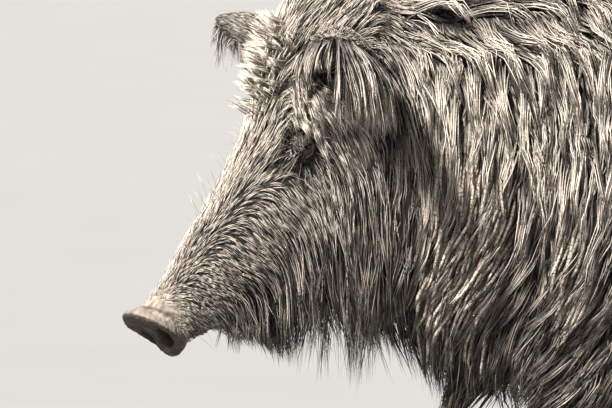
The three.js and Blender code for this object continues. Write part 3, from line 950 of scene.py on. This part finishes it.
def horn_material():
    """Dark horn in growth rings, with mud drying on it from below."""
    made = Nodes("horn", Specular_IOR_Level=0.45)
    rings = made.add("TexWave", bands_direction="Z")
    made.join(made.place, rings.inputs["Vector"])
    for key, value in {"Scale": 46, "Distortion": 5, "Detail": 4, "Detail Scale": 2}.items():
        rings.inputs[key].default_value = value
    horn = made.mix(rings.outputs["Fac"], (0.010, 0.008, 0.006), (0.022, 0.017, 0.013))
    height = made.add("SeparateXYZ")
    made.join(made.place, height.inputs["Vector"])
    low = made.spread(height.outputs["Z"], 0.0, 0.05, 0.85, 0.3)
    spots = made.spread(made.noise(70, 10.0), 0.47, 0.66, 0.0, 1.0)
    dirt = made.add("Math", operation="MULTIPLY")
    made.join(low, dirt.inputs[0])
    made.join(spots, dirt.inputs[1])
    colour = made.mix(dirt.outputs["Value"], horn, MUD * 0.11)
    roughness = made.spread(dirt.outputs["Value"], 0.0, 0.6, 0.42, 0.85)
    fine = made.raise_by(made.noise(500, 6.0), 0.0006)
    return made.finish(colour, roughness, made.raise_by(rings.outputs["Fac"], 0.0004, fine))


def eye_material():
    """A dark, wet eye with a brown iris."""
    made = Nodes("eye", Specular_IOR_Level=0.5)
    fibres = made.spread(made.noise(900, 3.0), 0.35, 0.65, 0.6, 1.4)
    roughness = made.spread(made.noise(60), 0.3, 0.7, 0.03, 0.07)
    return made.finish(made.shade(made.tint(), fibres), roughness, made.raise_by(made.noise(40), 0.0001))


def floor_material():
    made = Nodes("floor", Specular_IOR_Level=0.2)
    grain = made.noise(3.0)
    colour = made.mix(grain, (0.19, 0.19, 0.19), (0.21, 0.21, 0.21))
    return made.finish(colour, made.spread(grain, 0.3, 0.7, 0.85, 0.95), made.raise_by(grain, 0.001))


# ---------------------------------------------------------------- coat

HAIR = hair_material()
CAKED = mud_material()
STATIONS = 6  # points of a combed path, from root to tip
EVERY = [0, 1, 2, 3, 4, 5]  # the stations that a strand is built through
MOST = [0, 1, 2, 3, 5]
FEW = [0, 2, 5]
MOST_TRIANGLES = 190_000  # in one piece of the coat
ROOT_DEPTH = 0.002  # how far strands start under the skin
CLEARANCE = 0.001  # how near the skin a strand may run
COAT_REACH = 0.014  # how far hair may pass the box round the solids
PATCH = 0.0015  # half the width of a strand's patch in the map for baking


class Skin:
    """The skin's surface as arrays, for planting and guiding hair."""

    def __init__(self, obj):
        mesh = obj.data
        self.points = mesh_points(mesh)
        self.normals = mesh_normals(mesh)
        self.ears = read(mesh.attributes["ear"].data, "value", 1)[:, 0].astype(float)
        self.place = Place(self.points)
        self.way = lie_of_hair(self.place, self.normals, self.ears)
        self.traits = hair_traits(self.place, self.normals, self.ears)
        self.tree = KDTree(len(self.points))
        for i, point in enumerate(self.points):
            self.tree.insert(point, i)
        self.tree.balance()
        mesh.calc_loop_triangles()
        self.triangles = read(mesh.loop_triangles, "vertices", 3, np.int32)
        loops = read(mesh.loop_triangles, "loops", 3, np.int32)
        self.corner_uvs = read(mesh.uv_layers["OFBake"].data, "uv", 2)[loops]
        self.vertex_uvs = np.zeros((len(self.points), 2))
        self.vertex_uvs[self.triangles.ravel()] = self.corner_uvs.reshape(-1, 2)

    def nearest(self, points):
        find = self.tree.find
        return np.array([find(p)[1] for p in points.tolist()], np.int64)

    def scatter(self, chosen, traits):
        """Random roots on the skin, as many as each place's cover asks for."""
        corners = self.points[self.triangles]
        edges = corners[:, 1:] - corners[:, :1]
        area = 0.5 * np.linalg.norm(np.cross(edges[:, 0], edges[:, 1]), axis=1)
        density = chosen * traits["cover"] / (0.6 * traits["length"] * traits["width"])
        expected = np.cumsum(area * density[self.triangles].mean(axis=1))
        count = int(expected[-1])
        picks = (np.arange(count) + rng.random(count)) * (expected[-1] / count)
        face = np.minimum(np.searchsorted(expected, picks), len(area) - 1)
        a, b = rng.random((2, count))
        a, b = np.where(a + b > 1, 1 - a, a), np.where(a + b > 1, 1 - b, b)
        weights = np.column_stack([1 - a - b, a, b])
        vertices = self.triangles[face]
        nearest = vertices[np.arange(count), np.argmax(weights, axis=1)]
        return Roots(
            np.einsum("nk,nkd->nd", weights, self.points[vertices]),
            unit(np.einsum("nk,nkd->nd", weights, self.normals[vertices])),
            np.einsum("nk,nkd->nd", weights, self.corner_uvs[face]),
            {name: values[nearest] for name, values in traits.items()},
        )


class Roots:
    """Places where strands grow."""

    def __init__(self, points, normals, uv, traits):
        self.points, self.normals, self.uv, self.traits = points, normals, uv, traits
        self.place = Place(points)

    def __len__(self):
        return len(self.points)

    def rows(self, chosen):
        traits = {name: values[chosen] for name, values in self.traits.items()}
        return Roots(self.points[chosen], self.normals[chosen], self.uv[chosen], traits)


def comb(surface, roots):
    """Paths of strands, (n, STATIONS, 3), along the lie of the hair and over the skin."""
    points = roots.points - roots.normals * ROOT_DEPTH
    length, height, droop = (roots.traits[name] for name in ("length", "height", "droop"))
    slope = np.arctan2(2.0 * height * rng.uniform(0.6, 1.4, len(roots)), length)
    stray = rng.normal(0, 1, (len(roots), 3)) * roots.traits["stray"][:, None]
    path = [points]
    for station in range(1, STATIONS):
        t = station / (STATIONS - 1)
        near = surface.nearest(points)
        normals, way = surface.normals[near], surface.way[near]
        rise = slope * (1 - 1.2 * t)
        step = way * np.cos(rise)[:, None] + normals * np.sin(rise)[:, None] + stray
        step[:, 2] -= droop * t
        step[:, 0] -= roots.traits["sweep"] * t
        points = points + unit(step) * (length / (STATIONS - 1))[:, None]
        near = surface.nearest(points)
        normals = surface.normals[near]
        over = np.sum((points - surface.points[near]) * normals, axis=1)
        least = CLEARANCE + 0.45 * height * t
        points = points + normals * np.maximum(least - over, 0)[:, None]
        path.append(points)
    return curled(np.stack(path, axis=1), roots)


def curled(path, roots):
    """The paths, waved from side to side by an amount of each root's own."""
    t = np.linspace(0, 1, STATIONS)
    sideways = unit(np.cross(path[:, -1] - path[:, 0], roots.normals))
    turns = rng.uniform(0.7, 1.4, len(roots))[:, None] * t
    wave = np.sin(2 * math.pi * (turns + rng.random((len(roots), 1)))) * t
    return path + sideways[:, None, :] * (wave * roots.traits["curl"][:, None])[:, :, None]


def strands(roots, per_lock, comb_guides):
    """Paths of all strands: each follows its lock's guide and draws in to it towards the tip."""
    count = len(roots)
    guides = rng.choice(count, max(count // per_lock, 1), replace=False)
    tree = KDTree(len(guides))
    for i, guide in enumerate(guides):
        tree.insert(roots.points[guide], i)
    tree.balance()
    lock = np.array([tree.find(p)[1] for p in roots.points.tolist()], np.int64)
    path = comb_guides(roots.rows(guides))[lock]
    t = np.linspace(0, 1, STATIONS)
    apart = roots.points - roots.points[guides[lock]]
    gather = roots.traits["gather"][:, None] * t ** roots.traits["clump"][:, None]
    path = path + apart[:, None, :] * (1 - gather)[:, :, None]
    share = rng.uniform(0.72, 1.05, count)
    reach = np.clip(share[:, None] * t * (STATIONS - 1), 0, STATIONS - 1)
    low = np.minimum(reach.astype(int), STATIONS - 2)
    part = (reach - low)[:, :, None]
    rows = np.arange(count)[:, None]
    path = path[rows, low] * (1 - part) + path[rows, low + 1] * part
    loose = np.where(rng.random(count) < 0.12, 0.075, 0.026) * roots.traits["length"]
    wander = rng.normal(0, 1, (count, 3)) * loose[:, None]
    return path + wander[:, None, :] * (t**1.5)[None, :, None], lock


CORNERS = [(0.0, 0.75), (-1.0, -0.35), (1.0, -0.35)]  # a strand's section, in half widths


def strand_faces(rings):
    """Triangles of one strand: its base, its walls and its tip."""
    faces = [(2, 1, 0)]
    for ring in range(rings - 1):
        for i in range(3):
            a, b = 3 * ring + i, 3 * ring + (i + 1) % 3
            faces += [(a, b, b + 3), (a, b + 3, a + 3)]
    last = 3 * (rings - 1)
    faces += [(last + i, last + (i + 1) % 3, last + 3) for i in range(3)]
    return np.array(faces)


def strand_mesh(name, path, roots, tones, stations, material):
    """Closed, tapered, three-sided strands through the given stations of their paths."""
    centre = path[:, stations]
    count, rings = len(roots), len(stations) - 1
    along = np.linspace(0, 1, STATIONS)[stations]
    tangent = np.gradient(centre, axis=1)
    tangent /= np.maximum(np.linalg.norm(tangent, axis=2, keepdims=True), 1e-9)
    sideways = np.cross(tangent, roots.normals[:, None, :])
    sideways /= np.maximum(np.linalg.norm(sideways, axis=2, keepdims=True), 1e-9)
    outward = np.cross(sideways, tangent)
    taper = 0.5 * np.interp(along, [0, 0.35, 0.8, 1], [0.85, 1.0, 0.6, 0.1])
    half = (roots.traits["width"][:, None] * taper)[:, :rings, None]
    half = half * rng.uniform(0.75, 1.25, half.shape)
    thick = half * roots.traits["flat"][:, None, None]
    ring = [centre[:, :rings] + sideways[:, :rings] * half * a + outward[:, :rings] * thick * b
            for a, b in CORNERS]
    each = rings * 3 + 1
    points = np.empty((count, each, 3))
    points[:, :-1] = np.stack(ring, axis=2).reshape(count, rings * 3, 3)
    points[:, -1] = centre[:, -1]
    indices = (strand_faces(rings)[None] + (np.arange(count) * each)[:, None, None]).reshape(-1)
    mesh = bpy.data.meshes.new(name)
    total = len(indices) // 3
    mesh.vertices.add(count * each)
    mesh.loops.add(len(indices))
    mesh.polygons.add(total)
    mesh.vertices.foreach_set("co", points.astype(np.float32).ravel())
    mesh.loops.foreach_set("vertex_index", indices.astype(np.int32))
    mesh.polygons.foreach_set("loop_start", np.arange(0, total * 3, 3, dtype=np.int32))
    mesh.polygons.foreach_set("use_smooth", np.ones(total, bool))
    patch = [(0.9 * a, 0.3 * b + 0.72 * (2 * t - 1)) for t in along[:rings] for a, b in CORNERS]
    uv = roots.uv[:, None, :] + np.array(patch + [(0.0, 0.95)])[None] * PATCH
    layer = mesh.uv_layers.new(name="OFBake")
    layer.data.foreach_set("uv", uv.reshape(-1, 2)[indices].astype(np.float32).ravel())
    fade = np.concatenate([np.repeat(along[:rings], 3), [1.0]]) ** 1.1
    dark, light = tones
    paint(mesh, (dark[:, None, :] + (light - dark)[:, None, :] * fade[None, :, None]).reshape(-1, 3))
    mesh.update()
    mesh.validate()
    mesh.materials.append(material)
    piece = new_object(name, mesh)
    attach(piece, "root")


DARK_SHARE = 0.38  # of the strands, which are darker than the rest
DARKER = 0.60
LIGHTER = 0.16


def strand_tones(roots, lock, light, mud):
    """Colours at the root and the tip of each strand: those of one lock are alike."""
    shared = np.random.default_rng(31).normal(0, 1, lock.max() + 1)[lock]
    single = rng.normal(0, 1, len(roots))
    change = 0.16 * shared + 0.15 * single
    change -= np.where(rng.random(len(roots)) < DARK_SHARE, DARKER, -LIGHTER)
    light = np.clip(light * 1.09 + change * roots.traits["contrast"], 0, 1.15)[:, None]
    mud = mud[:, None]
    tip = BRISTLE + (STRAW - BRISTLE) * light**1.6
    tip = tip + (MUD * (0.95 + 0.30 * single[:, None]) - tip) * mud * (0.10 + 0.60 * light)
    root = (BRISTLE * 0.4 + (STRAW - BRISTLE) * 0.08 * light) * (1 - mud) + MUD * 0.25 * mud
    return root, np.clip(tip, 0.004, 1)


def within_reach(path):
    """Shortens the strands that would pass the box round the solids by more than the coat may."""
    low, high = np.array(cad_bounds[0]) - COAT_REACH, np.array(cad_bounds[1]) + COAT_REACH
    spread = path[:, 1:] - path[:, :1]
    room = np.where(spread > 0, high, low) - path[:, :1]
    share = np.min(room / np.where(np.abs(spread) < 1e-9, 1e-9, spread), axis=(1, 2), initial=1)
    path[:, 1:] = path[:, :1] + spread * share[:, None, None]
    return path


def add_coat(name, roots, per_lock, stations, comb_guides, light, mud, material=HAIR):
    """One region's hair, split into pieces that keep under the limit on triangles."""
    path, lock = strands(roots, per_lock, comb_guides)
    path = within_reach(path)
    tones = strand_tones(roots, lock, light, mud)
    each = (len(stations) - 2) * 6 + 4
    pieces = math.ceil(len(roots) * each / MOST_TRIANGLES)
    order = np.argsort(roots.place.x)
    for number, rows in enumerate(np.array_split(order, pieces)):
        part_tones = [tone[rows] for tone in tones]
        piece = f"{name}_{number + 1}"
        strand_mesh(piece, path[rows], roots.rows(rows), part_tones, stations, material)


def grow(name, chosen, per_lock, stations, darker=0, **traits):
    """Hair on the chosen part of the skin, with any given traits in place of its own."""
    given = {key: np.full(len(chosen), value) for key, value in traits.items()}
    roots = surface.scatter(chosen, surface.traits | given)
    light, mud = pelage_and_painted_light(roots.place, roots.normals) - darker, mud_share(roots.place)
    add_coat(name, roots, per_lock, stations, lambda some: comb(surface, some), light, mud)


def cake(name, share):
    """Locks caked with mud into flat, cracked ribbons."""
    count = len(share)
    ribbons = {"width": np.full(count, 0.0058), "flat": np.full(count, 0.5)}
    ribbons |= {"cover": 9 * share, "gather": np.zeros(count), "curl": np.full(count, 0.004)}
    ribbons["stray"] = np.full(count, 0.04)
    ribbons["height"] = surface.traits["height"] * 1.25
    roots = surface.scatter(np.ones(count), surface.traits | ribbons)
    light, mud = np.full(len(roots), 0.7), np.full(len(roots), 1.0)
    add_coat(name, roots, 1, EVERY, lambda some: comb(surface, some), light, mud, CAKED)


def plant(points, normals, **traits):
    """Roots away from the skin's own sampling, with the given traits."""
    count = len(points)
    uv = surface.vertex_uvs[surface.nearest(points)]
    traits = {"flat": 1, "clump": 0.6, "contrast": 1} | traits
    values = {name: np.broadcast_to(value, count).astype(float) for name, value in traits.items()}
    return Roots(points, normals, uv, values)


def falling(sag, spread):
    """A combing for hair that springs along its roots' normals and bends down by its sag."""
    def comb_guides(roots):
        start = unit(roots.normals + rng.normal(0, spread, (len(roots), 3)))
        t = np.linspace(0, 1, STATIONS)[None, :, None]
        path = start[:, None, :] * (t - sag * t * t / 2) + np.array([0, 0, -1]) * sag * t * t / 2
        path = roots.points[:, None, :] + path * roots.traits["length"][:, None, None]
        return curled(path, roots)
    return comb_guides


def ear_fringe(name, count, side, longest, per_lock, width):
    """Locks that spring from the rim of an ear and hang over its hollow."""
    s = 1 - rng.random(count) ** 1.3 * 0.85
    front = rng.random(count) < 0.25
    t = np.where(front, -side, side) * (1 - 0.30 * rng.random(count) - 0.5 * ramp(s, 0.85, 1))
    base, tip, back, across = ear_frame(side)
    depth = rng.uniform(0.002, 0.007, count)
    points = bend(np.vstack([ear_point(side, *each) for each in zip(s, t, depth)]))
    out = 0.20 * tip + np.outer(0.30 * t, across) + [0, 0, -0.45]
    ways = Place(points).turn(unit(out))
    length = (rng.uniform(0.040, 0.062, count) + 0.038 * s) * longest * (1 - 0.5 * front)
    roots = plant(points, ways, length=length, width=width, gather=0.88, curl=0.002)
    light, mud = np.full(count, 0.66), np.zeros(count)
    add_coat(name, roots, per_lock, EVERY, falling(1.1, 0.20), light, mud)


def tufts(name, count, share, ways, per_lock, sag, light, length, **traits):
    """Loose hair that stands away from the skin, from places chosen by their share."""
    odds = np.cumsum(share)
    picked = np.searchsorted(odds, rng.random(count) * odds[-1])
    jitter = rng.normal(0, 0.0015, (count, 3))
    length = np.broadcast_to(length, len(share))[picked]
    roots = plant(surface.points[picked] + jitter, unit(ways[picked]), length=length, **traits)
    light, mud = np.full(count, light), np.zeros(count)
    add_coat(name, roots, per_lock, MOST, falling(sag, 0.18), light, mud)


only_select(skin)
skin.data.uv_layers.new(name="OFBake")
bpy.ops.object.mode_set(mode="EDIT")
bpy.ops.mesh.select_all(action="SELECT")
bpy.ops.uv.smart_project(angle_limit=math.radians(66), island_margin=0.002)
bpy.ops.object.mode_set(mode="OBJECT")

surface = Skin(skin)
paint(skin.data, hide_colours_and_shade(surface.place, surface.normals, surface.ears))
skin.data.materials.append(hide_material())

head_part = head_share(surface.place) * (1 - surface.ears)
long_head = ramp(surface.traits["length"], 0.040, 0.055)
leg_part = leg_share(surface.place)
front_part = fade(surface.place.x, 0.16, 0.20)
body_part = (1 - head_share(surface.place)) * (1 - surface.ears) * (1 - leg_part)
grow("coat_face", head_part * (1 - long_head), 4, [0, 2, 3, 5])
grow("coat_beard", head_part * long_head, 7, EVERY)
grow("coat_neck", body_part * front_part, 12, MOST)
grow("coat_trunk", body_part * (1 - front_part), 9, [0, 1, 3, 5])
grow("coat_legs", leg_part * (1 - head_share(surface.place)), 4, FEW)
grow("coat_ears", surface.ears, 4, FEW)
# The underwool is darkened by 0.45: its own dark tone, deepened as painted shade under the coat.
grow("coat_wool", body_part, 3, FEW, darker=0.45, length=0.036, width=0.0036, height=0.007,
     cover=1.0, gather=0.3, droop=0.2, curl=0.001, stray=0.2, contrast=0.3, sweep=0, clump=1)
cake("coat_mud", body_part * front_part * ramp(mud_share(surface.place), 0.3, 0.8))
ear_fringe("coat_fringe_left", 1100, -1, 1.12, 15, 0.0011)
ear_fringe("coat_fringe_right", 420, 1, 0.65, 7, 0.0008)

spot = surface.place
outward = surface.normals
downward = spot.turn(head_to_straight(*np.outer([0, 0, -1], np.ones(len(spot.x)))))
middle = head_part * fade(np.abs(spot.side), 0.015, 0.045) * ramp(spot.up, 0.0, 0.03)
above_eye = ramp(spot.up, 0.004, 0.010) * ramp(np.abs(spot.side), 0.03, 0.05)
chin = head_part * ramp(surface.traits["length"], 0.034, 0.055) * ramp(-outward[:, 2], 0.2, 0.6)
tufts("coat_brow", 1500, head_part * brow_share(spot) ** 2, outward + 0.9 * downward, 13, 0.6, 0.95,
      length=0.050, width=0.0010, gather=0.86, curl=0.001, contrast=1.2)
tufts("coat_forelock", 800, middle * bump(spot.along, 0.29, 0.06), outward + 0.3 * surface.way, 10,
      0.1, 1.1, length=0.032, width=0.0009, gather=0.85, curl=0.001)
tufts("coat_lashes", 180, head_part * above_eye * bump(eye_distance(spot), 0.014, 0.005),
      outward + 0.5 * downward, 4, 0.3, 0.7, length=0.016, width=0.0005, gather=0.3, curl=0.0003)
tufts("coat_whiskers", 220, head_part * bump(spot.along, 0.15, 0.13), outward + 0.7 * surface.way, 1,
      0.2, 0.9, length=0.042, width=0.0004, gather=0, curl=0.001)
tufts("coat_coronets", 2600, leg_part * bump(spot.z, 0.064, 0.016), 0.25 * outward + [0, 0, -1.0], 5,
      0.5, 0.32, length=0.020, width=0.0015, gather=0.5, curl=0.0005, contrast=0.4)
tufts("coat_chin", 700, chin, outward * 0.3 + [0, 0, -1.0], 7, 0.6, 0.25,
      length=0.036 + 0.078 * ramp(spot.along, 0.04, 0.18), width=0.0009, gather=0.9, curl=0.003)

# ---------------------------------------------------------------- eyes, hooves and dewclaws

IRIS = np.array([0.022, 0.011, 0.006])
EYE_WHITE = np.array([0.030, 0.022, 0.018])


def side_of(name):
    return -1 if "left" in name else 1


def smooth_copy(name, voxel, rounds):
    """A finely meshed, rounded copy of a solid, as a piece that replaces it."""
    piece = new_object(name + "_piece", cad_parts[name].data.copy())
    piece.data.materials.clear()
    only_select(piece)
    piece.data.remesh_voxel_size = voxel
    bpy.ops.object.voxel_remesh()
    mesh = piece.data
    points = mesh_points(mesh)
    points = smooth(points, mesh_edges(mesh), np.full(len(points), 0.5), rounds)
    set_points(mesh, points)
    shade_smooth(mesh)
    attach(piece, "root")
    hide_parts(name)
    return piece


def eyeball(name, material):
    """An eye with a dark pupil, a brown iris and a bulge over them."""
    mesh = bpy.data.meshes.new(name)
    size = {"u_segments": 48, "v_segments": 32, "radius": EYE_RADIUS}
    edit_mesh(mesh, lambda ball: bmesh.ops.create_uvsphere(ball, **size))
    middle = box_middle(name)
    along, side, up = EYE_AXIS
    straight = head_to_straight(*np.array([[along], [side_of(name) * side], [up]]))
    axis = unit(Place(middle[None]).turn(straight))[0]
    points = mesh_points(mesh)
    angle = np.degrees(np.arccos(np.clip(unit(points) @ axis, -1, 1)))[:, None]
    colour = EYE_WHITE + (IRIS - EYE_WHITE) * fade(angle, 44, 50)
    colour = colour * ramp(angle, 17, 21)
    points *= 1 + 0.05 * fade(angle, 0, 45)
    set_points(mesh, points + middle)
    paint(mesh, colour + 0.003)
    shade_smooth(mesh)
    mesh.materials.append(material)
    piece = new_object(name + "_piece", mesh)
    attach(piece, "root")
    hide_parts(name)


def horn_piece(name, material):
    """A hoof half or a dewclaw, with worn growth rings."""
    piece = smooth_copy(name, 0.0016, 6)
    mesh = piece.data
    points, normals = mesh_points(mesh), mesh_normals(mesh)
    wobble = 0.0011 * waves(points, 0.03, 61)
    rings = np.sin((points[:, 2] + wobble) * (2 * math.pi / 0.0055))
    wall = fade(np.abs(normals[:, 2]), 0.5, 0.8)
    points += normals * (0.00016 * rings * wall + 0.0006 * waves(points, 0.02, 62))[:, None]
    points[:, 2] = np.maximum(points[:, 2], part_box(name)[0][2])
    set_points(mesh, points)
    mesh.materials.append(material)


eye_look = eye_material()
horn_look = horn_material()
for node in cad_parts:
    if node.startswith("eye_"):
        eyeball(node, eye_look)
    elif node.startswith(("hoof_", "dewclaw_")):
        horn_piece(node, horn_look)

# ---------------------------------------------------------------- camera, floor and light

LENS = 224
CAMERA_DISTANCE = 4.0
CAMERA_RISE = math.radians(6)
TARGET = np.array([-0.282, 0.0, 0.550])

camera = new_object("camera", bpy.data.cameras.new("camera"))
camera.data.lens = LENS
camera.data.sensor_width = 36
camera.data.clip_end = 100
towards_camera = np.array([0, -math.cos(CAMERA_RISE), math.sin(CAMERA_RISE)])
camera.location = Vector(TARGET + OFFSET + CAMERA_DISTANCE * towards_camera)
camera.rotation_euler = (math.pi / 2 - CAMERA_RISE, 0, 0)
bpy.context.scene.camera = camera

FLOOR_RADIUS = 30

floor_mesh = bpy.data.meshes.new("floor")
floor_shape = {"cap_ends": True, "radius": FLOOR_RADIUS, "segments": 96}
edit_mesh(floor_mesh, lambda disc: bmesh.ops.create_circle(disc, **floor_shape))
floor_mesh.materials.append(floor_material())
new_object("floor", floor_mesh)


def add_sun(name, strength, width, pitch, turn, colour):
    """A distant light, `width` degrees across, that shines down at `pitch` from level, turned by `turn`."""
    light = new_object(name, bpy.data.lights.new(name, "SUN"))
    light.data.energy = strength
    light.data.angle = math.radians(width)
    light.data.color = colour
    light.rotation_euler = (math.radians(90 - pitch), 0, math.radians(turn))


add_sun("key", 13.0, 8, 46, -44, (1.0, 0.965, 0.92))
add_sun("fill", 0.35, 60, 25, 40, (0.92, 0.96, 1.0))
add_sun("back", 2.6, 40, 40, 160, (1.0, 0.97, 0.92))
world = bpy.data.worlds.new("world")
world.use_nodes = True
light_nodes = world.node_tree.nodes
surroundings = light_nodes["Background"]
surroundings.inputs["Color"].default_value = (0.90, 0.93, 1.0, 1)
surroundings.inputs["Strength"].default_value = 0.15
backdrop = light_nodes.new("ShaderNodeBackground")  # seen past the floor's edge, and gives no light
backdrop.inputs["Color"].default_value = (0.76, 0.745, 0.71, 1)
seen = light_nodes.new("ShaderNodeMixShader")
for output, socket in (
    (light_nodes.new("ShaderNodeLightPath").outputs["Is Camera Ray"], seen.inputs[0]),
    (surroundings.outputs[0], seen.inputs[1]),
    (backdrop.outputs[0], seen.inputs[2]),
    (seen.outputs[0], light_nodes["World Output"].inputs["Surface"]),
):
    world.node_tree.links.new(output, socket)
bpy.context.scene.world = world
bpy.context.scene.view_settings.view_transform = "Standard"
